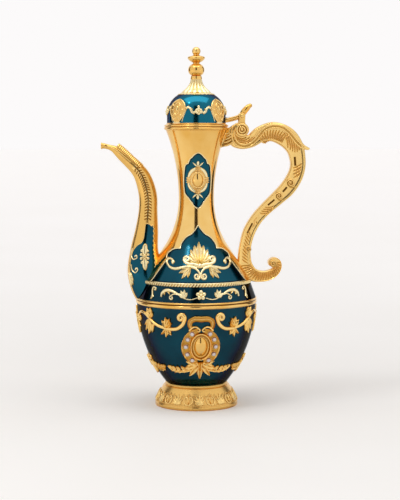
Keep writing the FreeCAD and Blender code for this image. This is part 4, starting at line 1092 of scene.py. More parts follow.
def addSlab(shape, outline, low, high, bevel=0.4):
    # Flat plate of an (x, height) outline between two depths, with its edges rounded off.
    midX, midZ = (sum(point[k] for point in outline) / len(outline) for k in (0, 1))
    rings = []
    for depth, shrink in ((low, 1), (low + bevel, 0), (high - bevel, 0), (high, 1)):
        ring = []
        for x, z in outline:
            keep = 1 - shrink * bevel / hypot(x - midX, z - midZ)
            point = (midX + (x - midX) * keep, depth, midZ + (z - midZ) * keep)
            ring.append(addPoint(shape, point, 0.6))
        rings.append(ring)
    addCapped(shape, rings, [(midX, depth, midZ) for depth in (low, high)], 0.6)


def makeHandle():
    rows, _, sides = handleLine
    thick, quarter = handle["thick"], handle["section"]
    loop = quarter + [(-u, v) for u, v in quarter[-2::-1]] + [(-u, -v) for u, v in quarter[1:]]
    loop += [(u, -v) for u, v in quarter[-2:0:-1]]
    shape = newShape()
    rings = []
    for (x, z, half), side in zip(rows, sides):  # painted highlight along the moulded edges
        rings.append([addPoint(shape, (x + side[0] * half * u, thick * v, z + side[1] * half * u),
            0.6 + 0.4 * max(abs(v) - 0.8, 0) * 5) for u, v in loop])
    addCapped(shape, rings, [(rows[at][0], 0.0, rows[at][1]) for at in (0, -1)])
    for key in ("scroll", "curl"):
        x, z, radius = handle[key]
        wide = thick * handle[key + "Wide"]
        addSlab(shape, ellipsePath((x, z), radius, radius, 40), -wide, wide)
    wide = thick * handle["gussetWide"]
    addSlab(shape, handle["gusset"], -wide, wide)  # web between the collar and the scroll
    hingeX, ear = handle["hinge"][0], handle["earRadius"]
    post = [roundPoint(handle["hinge"], radians(turn), ear) for turn in range(0, 181, 15)]
    high, low = handle["postFoot"]
    top, base = (ear * share for share in handle["postWide"])
    post += [(hingeX - top, high), (hingeX - base, low), (hingeX + base, low), (hingeX + top, high)]
    rivet, proud = handle["rivet"]
    for face in (-1, 1):
        near, far = sorted((face * handle["slot"], face * thick))
        addSlab(shape, post, near, far, 0.3)
        addDome(shape, sideOf(face, thick), handle["hinge"], rivet, rivet, proud)
    addBar(shape, smoothPath(handle["spur"], 5))
    finishShape(shape, "handleArm", castGold, "pot", ["handle"], 55)


# Carving on the handle's sides, as (x, height): the cord winds round the scroll and over the bend to
# the spur. A cut is (bow, half width, share of it at the ends, height).
carving = {
    "cord": [(29.8, 222.2), (28.8, 218.6), (28.9, 214.5), (30.8, 210.2), (34.4, 207.5), (38.6, 206.9),
        (42.7, 208.2), (46.8, 211.4), (50.3, 215.6), (53.2, 219.2), (57.2, 221.7), (62.0, 222.6),
        (67.6, 221.8), (72.2, 219.0), (76.0, 215.0), (79.2, 211.0), (82.2, 207.9), (85.6, 205.6)],
    "cordSeam": (0.4, 0.12), "cordRolls": [(1.3, 0.75, 0.8), (-1.1, 0.6, 0.5)], "cordStart": (0.5, 0.2),
    "gadroonBed": [(20.0, 206.4), (24.0, 207.6), (28.4, 208.9), (27.8, 214.0), (27.6, 217.4),
        (24.4, 216.6), (22.4, 212.0)],
    "gadroons": [((21.2, 207.2), (28.2, 209.8)), ((21.4, 209.7), (27.6, 212.4)),
        ((22.2, 212.3), (27.4, 214.9)), ((23.4, 214.9), (27.4, 217.2))],
    "gadroonCut": (-0.4, 1.05, 0.5, 1.1), "gadroonRise": 0.08,
    "scrollRise": 0.1, "scrollBed": 0.94, "scrollRings": [(0.80, 1.0), (0.42, 0.8)], "scrollTall": 1.1,
    "scrollEye": (-0.2, 0.2, 1.3),
    "strands": [(6.9, 205, 300), (8.5, 218, 316), (10.1, 236, 326), (11.6, 262, 330)],
    "strand": (0.85, 0.4, 0.6), "fan": {"count": 11, "eye": (61.6, 201.5), "near": 10.0, "far": 18.4,
        "first": 130, "last": 52}, "fanCut": (0.9, 0.95, 0.5, 0.7),
    "tail": [((69.4, 217.8), (72.9, 205.6)), ((71.6, 217.4), (74.9, 204.0)),
        ((73.8, 215.8), (76.6, 202.6)),
        ((76.0, 213.4), (78.4, 201.8)), ((78.2, 210.6), (80.2, 202.0)), ((80.2, 208.6), (81.8, 203.4))],
    "tailCut": (0.9, 0.95, 0.4, 0.6),
    "slits": [((78.4, 198.4), (78.9, 191.3), 0.95), ((72.2, 174.2), (68.9, 170.5), 0.85),
        ((62.3, 164.3), (57.0, 159.9), 0.75), ((44.6, 145.6), (40.6, 137.8), 0.75)],
    "slitTall": 0.12,
    "slashes": [((77.4, 189.5), (84.0, 193.1)), ((77.2, 187.0), (83.7, 190.6)),
        ((77.0, 184.3), (83.2, 188.4)), ((77.6, 181.8), (82.8, 185.8))],
    "slashCut": (-0.7, 1.05, 0.35, 0.7),
    "volutes": [((75.2, 177.5), 3.1, 160, -1), ((66.0, 167.2), 2.8, 150, -1), ((41.4, 124.8), 2.4, 60, 1)],
    "voluteTall": 0.9,
    "seams": [((74.2, 174.0), (80.2, 175.6)), ((64.8, 164.2), (70.6, 165.0)),
        ((47.8, 147.0), (50.6, 144.6))],
    "seamCut": (-0.8, 0.5, 0.5, 0.12),
    "feathers": [((50.6, 153.8), (58.0, 154.0)), ((51.6, 155.4), (59.8, 155.9)),
        ((53.0, 156.9), (61.2, 157.8)), ((54.6, 158.4), (62.2, 159.5))],
    "featherCut": (-1.0, 0.85, 0.35, 0.6),
    "curlLeaf": [(48.4, 150.4), (46.6, 147.4), (46.6, 144.6), (44.4, 142.0)],
    "curlLeafHalf": (0.8, 0.3), "curlLeafTall": 0.9, "curlRise": 0.18, "curlVolute": (0.82, 20, 1, 0.8),
    "hatching": {"from": 152.0, "pitch": 2.6, "count": 10, "lean": 2.0, "reach": 0.42,
        "half": (0.7, 0.4), "tall": 0.4},
    "curlRibs": {"from": 179.0, "pitch": 1.85, "count": 21, "lean": 0.9, "reach": 0.72,
        "half": (0.92, 0.6), "tall": 0.6},
    "granule": (0.5, 0.55), "granuleOff": 3.1, "granuleFrom": 40, "granuleTo": 66,
}


def alongHandle(along, share):
    # Point on the handle's side at a length from its start and a share of its half width inwards.
    (x, z, half), side = rowAt(handleLine, along)
    return x + side[0] * half * share, z + side[1] * half * share


def carveRoot(shape, put, cord):
    # Cord, gadroons and scroll where the handle starts.
    thick, work = handle["thick"], carving
    addStroke(shape, put, cord, *work["cordSeam"], paintedScratchSection)
    more, until = work["cordStart"]
    for off, half, tall in work["cordRolls"]:  # higher where they start on the web
        addStroke(shape, put, offsetPath(cord, off), half,
            lambda share: tall + more * max(0.0, 1 - share / until))
    root = raisedBy(put, thick * work["gadroonRise"])
    # The bed under the gadroons is painted dark as shade.
    addField(shape, root, work["gadroonBed"], 2.0, 0.05, 0.3, 0.1)
    bow, half, ends, tall = work["gadroonCut"]
    for start, end in work["gadroons"]:
        addStroke(shape, root, bowedPath(start, end, bow), swell(half, ends), tall)
    x, z, radius = handle["scroll"]
    top = raisedBy(put, thick * work["scrollRise"])
    bed = radius * work["scrollBed"]
    # The bed under the scroll's rings is painted dark as shade.
    addField(shape, top, ellipsePath((x, z), bed, bed, 32), 2.0, 0.06, 0.3, 0.14)
    for share, half in work["scrollRings"]:
        ring = ellipsePath((x, z), radius * share, radius * share, 40)
        addStroke(shape, top, ring, half, work["scrollTall"], closed=True)
    across, up, eye = work["scrollEye"]
    addDome(shape, top, (x + across, z + up), eye, eye, eye)
    half, ends, tall = work["strand"]
    for reach, first, last in work["strands"]:
        turns = [radians(first + (last - first) * step / 14) for step in range(15)]
        path = [roundPoint((x, z), turn, reach) for turn in turns]
        addStroke(shape, put, path, swell(half, ends), tall, gougeSection)


def carveArm(shape, put):
    # Gouged leaves, slits and volutes from the bend down to the curl.
    work, fan = carving, carving["fan"]

    def cut(start, end, form, section=gougeSection):
        bow, half, ends, tall = work[form]
        addStroke(shape, put, bowedPath(start, end, bow), swell(half, ends), tall, section)
    for step in range(fan["count"]):
        turn = radians(fan["first"] + (fan["last"] - fan["first"]) * step / (fan["count"] - 1))
        foot, head = (roundPoint(fan["eye"], turn, reach) for reach in (fan["near"], fan["far"]))
        cut(foot, head, "fanCut")
    for start, end in work["tail"]:
        cut(start, end, "tailCut")
    # The slits are painted dark in their middles as shade.
    for start, end, half in work["slits"]:
        addStroke(shape, put, bowedPath(start, end, 0.0), half, work["slitTall"], paintedGrooveSection)
    for start, end in work["slashes"]:
        cut(start, end, "slashCut")
    for eye, size, start, hand in work["volutes"]:
        addVolute(shape, put, eye, size, start, hand, work["voluteTall"])
    for start, end in work["seams"]:
        cut(start, end, "seamCut", paintedScratchSection)
    for start, end in work["feathers"]:
        cut(start, end, "featherCut")
    addStroke(shape, put, smoothPath(work["curlLeaf"], 6), swell(*work["curlLeafHalf"]),
        work["curlLeafTall"])


def carveCurl(shape, put):
    # Ribs that lean forward from the inner to the outer edge of the lower arm, and the volute at its end.
    for ribs in (carving["hatching"], carving["curlRibs"]):
        for step in range(ribs["count"]):
            along = ribs["from"] + ribs["pitch"] * step
            path = [alongHandle(along + ribs["lean"] * share, -ribs["reach"] * share)
                for share in (-1, -0.5, 0, 0.5, 1)]
            addStroke(shape, put, path, swell(*ribs["half"]), ribs["tall"], gougeSection)
    x, z, radius = handle["curl"]
    size, start, hand, tall = carving["curlVolute"]
    end = raisedBy(put, handle["thick"] * carving["curlRise"])
    addVolute(shape, end, (x, z), radius * size, start, hand, tall)


def makeHandleCarving():
    shape, granules = newShape(), []
    cord = smoothPath(carving["cord"], 6)
    row = offsetPath(cord, carving["granuleOff"])[carving["granuleFrom"]:carving["granuleTo"]:2]
    for face in (-1, 1):
        put = sideOf(face)
        carveRoot(shape, put, cord)
        carveArm(shape, put)
        carveCurl(shape, put)
        granules += [placeOn(put, *spot) for spot in row]
    finishShape(shape, "handleCarving", castGold, "pot", (), 60)
    addCopies(granuleStamp(*carving["granule"]), granules, "handleGranules", castGold, "pot")


# Lid lever: strap from the dome, knuckle on the pin and a leaf-shaped thumb piece with a roll across
# its tip. Rows of the strap are (x, height, half depth, half width).
lever = {
    "strap": [(21.9, 227.0, 1.75, 2.0), (26.0, 228.0, 1.65, 2.0), (31.0, 229.3, 1.55, 2.0),
        (36.1, 231.0, 2.0, 2.0), (37.2, 233.0, 2.45, 2.6), (38.8, 235.2, 2.5, 3.2),
        (40.6, 237.1, 2.3, 3.4), (42.0, 238.6, 1.9, 2.9), (43.0, 239.6, 1.2, 1.8)],
    "mouldings": [((23.4, 228.6), (34.0, 231.2)), ((23.4, 227.2), (34.0, 229.8)),
        ((23.4, 225.9), (34.0, 228.6))],
    "moulding": (-0.3, 0.42, 0.45), "sunk": 0.1, "knuckle": 2.35, "half": 2.0, "knob": (42.9, 239.0),
    "knobRadius": 1.75, "knobHalf": 2.4,
}


def makeLever():
    shape = newShape()
    addBar(shape, smoothPath(lever["strap"], 6))
    half, knuckle = lever["half"], lever["knuckle"]
    addSlab(shape, ellipsePath(handle["hinge"], knuckle, knuckle, 28), -half, half, 0.2)
    x, z = lever["knob"]
    rings = []
    for turn in (radians(degrees) for degrees in range(20, 161, 20)):
        reach, depth = lever["knobRadius"] * sin(turn), lever["knobHalf"] * cos(turn)
        rings.append([addPoint(shape, (px, depth, pz), 0.8)
            for px, pz in ellipsePath((x, z), reach, reach, 16)])
    addCapped(shape, rings, [(x, side * lever["knobHalf"], z) for side in (1, -1)], 0.8)
    bow, wide, tall = lever["moulding"]
    for face in (-1, 1):
        put = sideOf(face, half - lever["sunk"])
        for start, end in lever["mouldings"]:
            addStroke(shape, put, bowedPath(start, end, bow), wide, tall)
    finishShape(shape, "lidLever", goldPlate, "lid", ["lid_lever"], 50)


for make in (makeFoot, makeBelly, makeWaistBand, makeUpperShell, makeRope, makeCollar, makeDome,
        makeLidRim, makeFinialPlate, makeFinialBell, makeFinialKnop, makeSpout, makeSpoutComb, makeHandle,
        makeHandleCarving, makeLever):
    make()
print("main pieces ready")


# Fields and medallions on the neck and shoulder, alike in front and behind
def outlineFrom(side, wide, tall, level):
    # Right half of an outline as shares and its mirror image. A row has the middle of its arc or None.
    points = [side[0]]
    steps = 6
    for middle, end in side[1:]:
        start = points[-1]
        for t in (step / steps for step in range(1, steps + 1)):
            if middle:
                bulge = [2 * m - (a + b) / 2 for m, a, b in zip(middle, start, end)]
                points.append(tuple((1 - t) ** 2 * a + 2 * t * (1 - t) * c + t * t * b
                    for a, c, b in zip(start, bulge, end)))
            else:
                points.append(tuple(a + (b - a) * t for a, b in zip(start, end)))
    right = [(across * wide, level + up * tall) for across, up in points]
    return bothSides(right[::-1])


directions = {"front": 1, "back": -1}
neckField = {
    "wide": 11.4, "tall": 21.7, "level": 180.3, "tone": 0.36,
    "side": [(0, 0.995), ((0.22, 0.943), (0.42, 0.828)), ((0.57, 0.75), (0.655, 0.61)),
        ((0.84, 0.55), (0.90, 0.40)), ((0.945, 0.0), (0.89, -0.40)), ((0.81, -0.53), (0.62, -0.645)),
        ((0.51, -0.74), (0.38, -0.815)), ((0.24, -0.94), (0, -1.034))],
}
shoulderField = {
    "wide": 37.6, "tall": 44.0, "level": 101.3, "tone": 0.33,
    "side": [(0, 1), ((0.072, 0.905), (0.157, 0.83)), ((0.25, 0.785), (0.318, 0.717)),
        ((0.36, 0.662), (0.378, 0.60)), (None, (0.378, 0.589)), ((0.495, 0.58), (0.58, 0.534)),
        ((0.644, 0.48), (0.665, 0.389)), (None, (1, 0)), (None, (0.5, 0)), (None, (0, 0))],
}
shoulderSwell = {"rise": 0.5, "high": 129.0, "lean": 0.76, "least": 14.0}
fieldEdge = {"spacing": 1.5, "proud": 0.06, "under": 0.5, "rimIn": 0.75, "rim": (0.45, 0.28),
    "border": (0.42, 0.4)}


def swollen(put):
    # The shoulder's enamel stands highest in the middle of its field and meets the gold at its edges.
    low, wide = shoulderField["level"], shoulderField["wide"]

    def raised(across, up, proud):
        share = min(max((up - low) / (shoulderSwell["high"] - low), 0.0), 1.0)
        limit = max(wide - shoulderSwell["lean"] * (up - low), shoulderSwell["least"])
        inside = max(1 - (across / limit) ** 2, 0.0)
        return put(across, up, proud + shoulderSwell["rise"] * sin(pi * share) * inside)
    return raised


def makeField(name, field, where, put, bed):
    outline = outlineFrom(field["side"], field["wide"], field["tall"], field["level"])
    shape, rim, border = newShape(), newShape(), newShape()
    # The field's tone is its place on the painted-light ramp: painted shade, set per field.
    addField(shape, bed, outline, fieldEdge["spacing"], fieldEdge["proud"], fieldEdge["under"],
        field["tone"])
    finishShape(shape, f"{name}Enamel{where.title()}", enamel, "pot", [f"{name}_enamel_{where}"], 40)
    inside = offsetPath(outline + outline[:1], fieldEdge["rimIn"])[:-1]
    addStroke(rim, put, inside, *fieldEdge["rim"], edgeSection, closed=True)
    rim["paintedLight"] = [0.0] * len(rim["paintedLight"])  # painted shade: the enamel is painted darkest along its wall
    finishShape(rim, f"{name}Rim{where.title()}", enamel, "pot")
    addStroke(border, put, outline, *fieldEdge["border"], edgeSection, closed=True)
    finishShape(border, f"{name}Border{where.title()}", paleGold, "pot")


def makeFields():
    for where, direction in directions.items():
        put = frontOn(upperFace, direction)
        makeField("neck", neckField, where, put, put)
        makeField("shoulder", shoulderField, where, put, swollen(put))


# Neck medallion: four curved petals between ribbed clasps, round a raised mirror, with a fleur above
# and below. Shares are of its half width and half height, and heights are shares of how proud it is.
medallion = {
    "wide": 8.5, "tall": 11.0, "proud": 0.8, "middle": (0.0, 180.4), "plate": (0.95, 0.96, 0.35),
    "petalStarts": (15, 105, 195, 285), "petalSweep": 60, "petal": (0.85, 1.5, 0.6, 1.3),
    "bead": (0.645, 0.45, 0.5, 1.0),
    "sideRibs": (-9.5, 0, 9.5), "sideRib": (0.62, 0.74, 0.88, 1.0), "sideRibHalf": 0.6, "ribTall": 1.3,
    "endRibs": [(0.66, 1.5), (0.77, 1.9), (0.88, 1.7), (0.99, 1.2)], "endRibHalf": (0.55, 0.5, 0.5),
    "ring": (4.7, 6.1), "ringHalf": 0.75, "ringTall": 1.6, "mirror": (4.2, 5.6), "mirrorTall": 1.75,
}
fleur = {
    "fans": [
        {"at": (0.0, 10.8), "tall": 0.9, "peak": 0.6, "section": roundSection,
            "leaves": [(90, 4.4, 1.2, 0)]},
        {"at": (0.4, 10.8), "tall": 0.7, "section": roundSection, "leaves": [(32, 5.0, 0.75, 24)]},
        {"at": (-0.4, 10.8), "tall": 0.7, "section": roundSection, "leaves": [(148, 5.0, 0.75, -24)]},
    ],
}


def makeNeckMedallions():
    middle = medallion["middle"]
    wide, tall, proud = medallion["wide"], medallion["tall"], medallion["proud"]
    ribTall = proud * medallion["ribTall"]

    def spoke(turn, share):
        return roundPoint(middle, turn, wide * share, tall * share)

    for where, direction in directions.items():
        put = frontOn(upperFace, direction)
        shape, petals, mirror = newShape(), newShape(), newShape()
        plateWide, plateTall, plateProud = medallion["plate"]
        plate = ellipsePath(middle, wide * plateWide, tall * plateTall)
        addField(shape, put, plate, 1.5, proud * plateProud, 0.3, 0.5)
        for start in medallion["petalStarts"]:
            turns = [radians(start + medallion["petalSweep"] * step / 12) for step in range(13)]
            for target, key in ((petals, "petal"), (shape, "bead")):
                at, half, ends, high = medallion[key]
                addStroke(target, put, [spoke(turn, at) for turn in turns], swell(half, ends),
                    proud * high)
        for rib in (side + lean for side in (0, 180) for lean in medallion["sideRibs"]):
            path = [spoke(radians(rib), share) for share in medallion["sideRib"]]
            addStroke(shape, put, path, medallion["sideRibHalf"], ribTall)
        for side in (1, -1):
            for share, half in medallion["endRibs"]:
                up = middle[1] + side * tall * share
                path = [(half * at / 3, up) for at in range(-3, 4)]
                addStroke(shape, put, path, swell(*medallion["endRibHalf"]), ribTall)
        ring = ellipsePath(middle, *medallion["ring"])
        addStroke(shape, put, ring, medallion["ringHalf"], proud * medallion["ringTall"], closed=True)
        for side in (1, -1):
            addWork(petals, lambda across, up, high: put(across, middle[1] + side * up, high), fleur)
        finishShape(shape, f"neckMedallion{where.title()}", softGold, "pot",
            [f"neck_medallion_{where}"], 60)
        finishShape(petals, f"neckPetals{where.title()}", paleGold, "pot", (), 60)
        addDome(mirror, put, middle, *medallion["mirror"], proud * medallion["mirrorTall"], 40, bowlRows)
        finishShape(mirror, f"neckMirror{where.title()}", goldPlate, "pot")


# Palmette, scrolls and sprays on the shoulder field, drawn as (x, height) of the front view
shoulderMiddle = {
    "fans": [{"at": (0.0, 115.6), "tall": 1.6, "peak": 0.6, "leaves": [(90, 16.4, 2.6, 0)]}],
    "knobs": [((0.0, 114.2), 2.0, 2.0, 1.8)],
}
shoulderSide = {
    "scrolls": [
        {"points": [(0.4, 113.8), (3.8, 115.2), (7.4, 115.4), (10.6, 116.6)], "curl": (2.6, 1.35, 1),
            "half": taper(1.7, 0.7), "tall": 1.2},
        {"points": [(2.5, 112.4), (7.5, 113.6), (13.0, 113.1), (18.6, 112.0), (22.6, 113.0),
            (24.6, 115.6)], "curl": (2.7, 0.72, 1, 0.75), "half": taper(1.15, 0.8), "tall": 1.0},
        {"points": [(6.4, 113.6), (3.6, 112.4), (1.2, 110.0), (0.25, 107.4)], "kink": (0.45, 106.4),
            "curl": (2.35, 1.25, 1, 0.25), "half": taper(0.95, 0.65), "tall": 1.0},
    ],
    "fans": [
        {"at": (0.7, 115.6), "tall": 1.3, "peak": 0.66,
            "leaves": [(72, 14.0, 2.4, 16), (54, 12.0, 2.4, 16), (36, 9.8, 2.3, 16),
                (16, 7.8, 2.0, 16)]},
        {"at": (7.2, 113.4), "tall": 1.2,
            "leaves": [(-6, 7.4, 1.3, -12), (-24, 10.0, 1.7, -12), (-46, 11.0, 1.8, -12),
                (-68, 8.4, 1.5, -12)]},
    ],
    "knobs": [((20.2, 117.3), 1.5, 1.5, 1.2)],
}


def makeShoulderRelief():
    shape = newShape()
    for direction in directions.values():
        put = swollen(frontOn(upperFace, direction))
        addWork(shape, put, shoulderMiddle)
        addPair(shape, put, shoulderSide)
    stands = ["shoulder_palmette_front", "shoulder_palmette_back"]
    finishShape(shape, "shoulderRelief", paleGold, "pot", stands, 60)


# Flower and acanthus round the enamel band
def bandStemHalf(share):
    return 0.45 + 0.9 * max(0.0, sin(pi * (share - 0.42) / 0.62))  # thin, fuller past its leaves


bandHeight = 92.8
bandFlower = ((0.0, 0.0), 4.0, 5, 1.0)
bandSide = {
    "scrolls": [
        {"points": [(3.5, -2.2), (7.1, -3.4), (11.0, -3.3), (15.0, -1.6), (18.9, 1.2), (23.7, 3.1),
            (28.4, 3.2), (32.0, 1.0), (32.7, -2.2)], "half": bandStemHalf, "tall": 1.0},
        {"points": [(17.4, 0.0), (21.3, 0.6), (24.5, -1.2)], "curl": (1.5, 0.8, -1, 0.6),
            "half": taper(0.5, 0.7), "tall": 0.9},
        {"points": [(41.3, -3.0), (42.0, -0.8), (42.3, 2.4), (41.2, 4.9), (39.0, 4.6)],
            "curl": (1.1, 0.7, 1, 0.5), "half": taper(0.85, 0.5), "tall": 0.95},
    ],
    "fans": [
        {"at": (13.8, -2.4), "tall": 1.1, "section": roundSection,
            "leaves": [(128, 5.4, 1.5, 0), (100, 6.8, 1.5, 0), (74, 6.2, 1.5, 0), (44, 5.2, 1.5, 0)]},
        {"at": (30.0, 2.8), "tall": 0.9, "leaves": [(-100, 3.6, 0.85, 0)]},
        {"at": (26.8, 2.8), "tall": 0.9, "leaves": [(-128, 3.6, 0.85, 0)]},
        {"at": (41.8, -0.6), "tall": 1.0, "leaves": [(-70, 4.4, 0.9, 0)]},
    ],
}


def makeBandRelief():
    shape = newShape()
    for angle in (0, 180):
        put = patchOn(bandFace, angle, bandHeight)
        addRosette(shape, put, *bandFlower)
        addPair(shape, put, bandSide)
    finishShape(shape, "bandRelief", paleGold, "pot", (), 60)


# Festoons, side sprays and the leaf garland on the belly
def festoonHalf(share):
    return 0.95 + 0.75 * sin(pi * share ** 1.4)  # widest past its middle


festoonHeight = 70.0
festoonSide = {
    "scrolls": [
        {"points": [(46.0, 4.2), (41.0, 0.6), (36.0, -1.8), (30.0, -3.2), (24.0, -3.9), (18.6, -3.2),
            (14.4, 0.2), (12.7, 4.4)], "curl": (3.2, 1.25, -1), "half": festoonHalf, "tall": 1.5},
        {"points": [(46.0, 4.0), (52.0, 6.8), (58.0, 7.2), (62.6, 4.6)], "curl": (2.8, 1.1, -1),
            "half": 1.1, "tall": 1.4},
    ],
    "fans": [
        {"at": (28.0, -3.0), "tall": 1.6,
            "leaves": [(136, 6.4, 2.1, 10), (110, 8.4, 2.1, 10), (84, 8.6, 2.1, 10),
                (56, 7.0, 2.1, 10)]},
        {"at": (27.6, -3.2), "tall": 1.3,
            "leaves": [(-118, 6.8, 1.9, -30), (-90, 7.4, 1.9, 0), (-60, 7.2, 1.9, 30)]},
        {"at": (45.2, 3.4), "tall": 1.5,
            "leaves": [(126, 6.4, 2.1, 0), (100, 8.4, 2.1, 0), (74, 8.2, 2.1, 0), (46, 6.6, 2.1, 0)]},
        {"at": (45.0, 3.0), "tall": 1.5,
            "leaves": [(-134, 8.4, 2.2, 8), (-112, 11.4, 2.2, 8), (-90, 12.6, 2.2, 8),
                (-68, 11.0, 2.2, 8), (-48, 8.0, 2.2, 8)]},
    ],
}
bellySpray = {
    "fans": (evenFan((0.0, 4.0), -90, 16.0, 62, 7, 1.8, 1.5, 20)
        + evenFan((0.0, 4.6), 90, 5.8, 50, 3, 1.3, 1.2)),
    "knobs": [((0.0, 4.2), 1.7, 1.7, 1.7)],
}
garlandHeight = 34.0
garlandMiddle = {
    "fans": evenFan((0.0, 6.2), -90, 15.4, 84, 7, 2.7, 1.7, 30, 0.6)
    + [{"at": (0.0, 7.8), "tall": 2.3, "leaves": [(-90, 9.4, 2.4, 0)]}],
}
garlandLeaves = [(7.0, -0.7, 4.8), (10.8, -1.9, 5.6), (14.6, -2.6, 5.8), (18.4, -2.5, 5.6),
    (21.8, -1.6, 4.8)]
garlandSide = {
    "scrolls": [{"points": [(2.6, 0.6), (7.0, -0.9), (11.5, -2.3), (16.0, -2.9), (20.5, -2.2),
        (24.4, -0.4), (26.4, 2.0)], "half": taper(1.7, 0.6), "tall": 1.2, "section": leafSection}],
    "fans": [{"at": (across, up), "tall": 1.4, "leaves": [(38, length * 1.15, 1.4, 30)]}
        for across, up, length in garlandLeaves]
    + [{"at": (across - 1.0, up), "tall": 1.0, "leaves": [(-26, length * 0.6, 0.95, -16)]}
        for across, up, length in garlandLeaves],
}


def makeBellyRelief():
    shape = newShape()
    for angle in (0, 180):
        put = patchOn(bellyFace, angle, festoonHeight)
        addPair(shape, put, festoonSide)
    for angle in (90, 270):
        addWork(shape, patchOn(bellyFace, angle, festoonHeight), bellySpray)
    for angle in range(0, 360, 90):
        put = patchOn(bellyFace, angle, garlandHeight)
        addWork(shape, put, garlandMiddle)
        addPair(shape, put, garlandSide)
    stands = ["belly_festoon_front", "belly_festoon_back", "belly_side_sprays", "belly_garland"]
    finishShape(shape, "bellyRelief", castGold, "pot", stands, 60)


# Belly cartouche: a polished oval in rings, between two wings that carry the stones, under a crest
cartouche = {
    "middle": 52.9, "oval": (7.9, 10.8), "bed": (2.0, 0.6, 0.3, 0.16),
    "rings": [(0.93, 0.95, 0.75, 2.4), (0.7, 0.75, 0.5, 1.6)], "cabochon": (0.66, 0.72, 3.2),
    "stoneRing": (11.2, 12.9), "stoneTurns": (-57, -28, 0, 27, 53), "stoneRadius": 1.85,
    "stoneRise": 1.25, "stoneCut": [(0.9, -0.5, 0.0), (1.0, 0.15, 0.05), (0.86, 0.42, 0.35),
        (0.5, 0.62, 1.0)], "bezel": (1.1, 0.3, 1.4), "wing": (80, -158, 28), "wingOut": 0.3,
    "wingHalf": (3.5, 0.5, 0.5), "wingTall": 1.5,
    "crest": [(-7.4, 67.4), (-8.6, 70.6), (-7.6, 73.6), (-4.4, 75.0), (0.0, 74.7)],
    "crestHalf": (2.4, 0.62, 0.5), "crestTall": 2.0, "crestBead": (0.6, 1.7),
}
cartoucheSide = {
    "scrolls": [
        {"points": [(9.0, 65.8), (6.4, 68.2), (3.6, 68.5), (1.3, 66.8)], "curl": (1.2, 0.7, 1, 0.4),
            "half": taper(1.0, 0.7), "tall": 2.0},
        {"points": [(9.2, 41.0), (6.6, 38.2), (3.4, 37.2)], "curl": (1.3, 0.7, -1, 0.4),
            "half": taper(0.9, 0.6), "tall": 1.7},
    ],
}


def stoneStamp():
    # Brilliant cut of eight sides, as rows of (share of the radius, share of it upwards, painted light).
    stamp, radius = newShape(), cartouche["stoneRadius"]
    turns = [radians(45 * at) for at in range(8)]
    rings = []
    for reach, up, paintedLight in cartouche["stoneCut"]:
        rings.append([addPoint(stamp, (radius * reach * cos(turn), radius * reach * sin(turn),
            radius * up), paintedLight) for turn in turns])
    stamp["faces"].append(rings[0][::-1])
    addRings(stamp, rings)
    stamp["faces"].append(rings[-1])
    return stamp


def makeCartouches():
    stamp, radius = stoneStamp(), cartouche["stoneRadius"]
    middle, (wide, tall) = (0.0, cartouche["middle"]), cartouche["oval"]
    ringWide, ringTall = cartouche["stoneRing"]
    first, sweep, steps = cartouche["wing"]
    turns = [radians(first + sweep * step / steps) for step in range(steps + 1)]
    wing = [roundPoint((cartouche["wingOut"], middle[1]), turn, ringWide, ringTall) for turn in turns]
    left = cartouche["crest"]
    crest = smoothPath(left + [(-across, up) for across, up in left[-2::-1]], 6)
    for where, direction in directions.items():
        put = frontOn(bellyFace, direction)
        mount, cabochon, stones = newShape(), newShape(), []
        for hand in (1, -1):
            half = mirrored(put, hand)
            addStroke(mount, half, wing, swell(*cartouche["wingHalf"]), cartouche["wingTall"],
                channelSection)
            addWork(mount, half, cartoucheSide)
            bezel, bezelHalf, bezelTall = cartouche["bezel"]
            for turn in (radians(degrees) for degrees in cartouche["stoneTurns"]):
                spot = roundPoint(middle, turn, hand * ringWide, ringTall)
                ring = ellipsePath(spot, radius * bezel, radius * bezel, 16)
                addStroke(mount, put, ring, bezelHalf, bezelTall, closed=True)
                here, outward, heading, size = placeOn(put, *spot)
                stones.append((here + outward * cartouche["stoneRise"], outward, heading, size))
        # The bed round the oval takes a low place on the painted-light ramp: painted shade.
        addField(mount, put, ellipsePath(middle, wide, tall), *cartouche["bed"])
        for shareWide, shareTall, ringHalf, high in cartouche["rings"]:
            addStroke(mount, put, ellipsePath(middle, wide * shareWide, tall * shareTall), ringHalf,
                high, closed=True)
        addStroke(mount, put, crest, swell(*cartouche["crestHalf"]), cartouche["crestTall"],
            channelSection)
        addStroke(mount, put, crest, *cartouche["crestBead"])
        finishShape(mount, f"bellyCartouche{where.title()}", castGold, "pot",
            [f"belly_cartouche_{where}"], 60)
        addCopies(stamp, stones, f"crystals{where.title()}", crystal, "pot", [f"crystals_{where}"], 20)
        shareWide, shareTall, high = cartouche["cabochon"]
        addDome(cabochon, put, middle, wide * shareWide, tall * shareTall, high, 48, bowlRows)
        finishShape(cabochon, f"cabochon{where.title()}", goldPlate, "pot", [f"cabochon_{where}"])


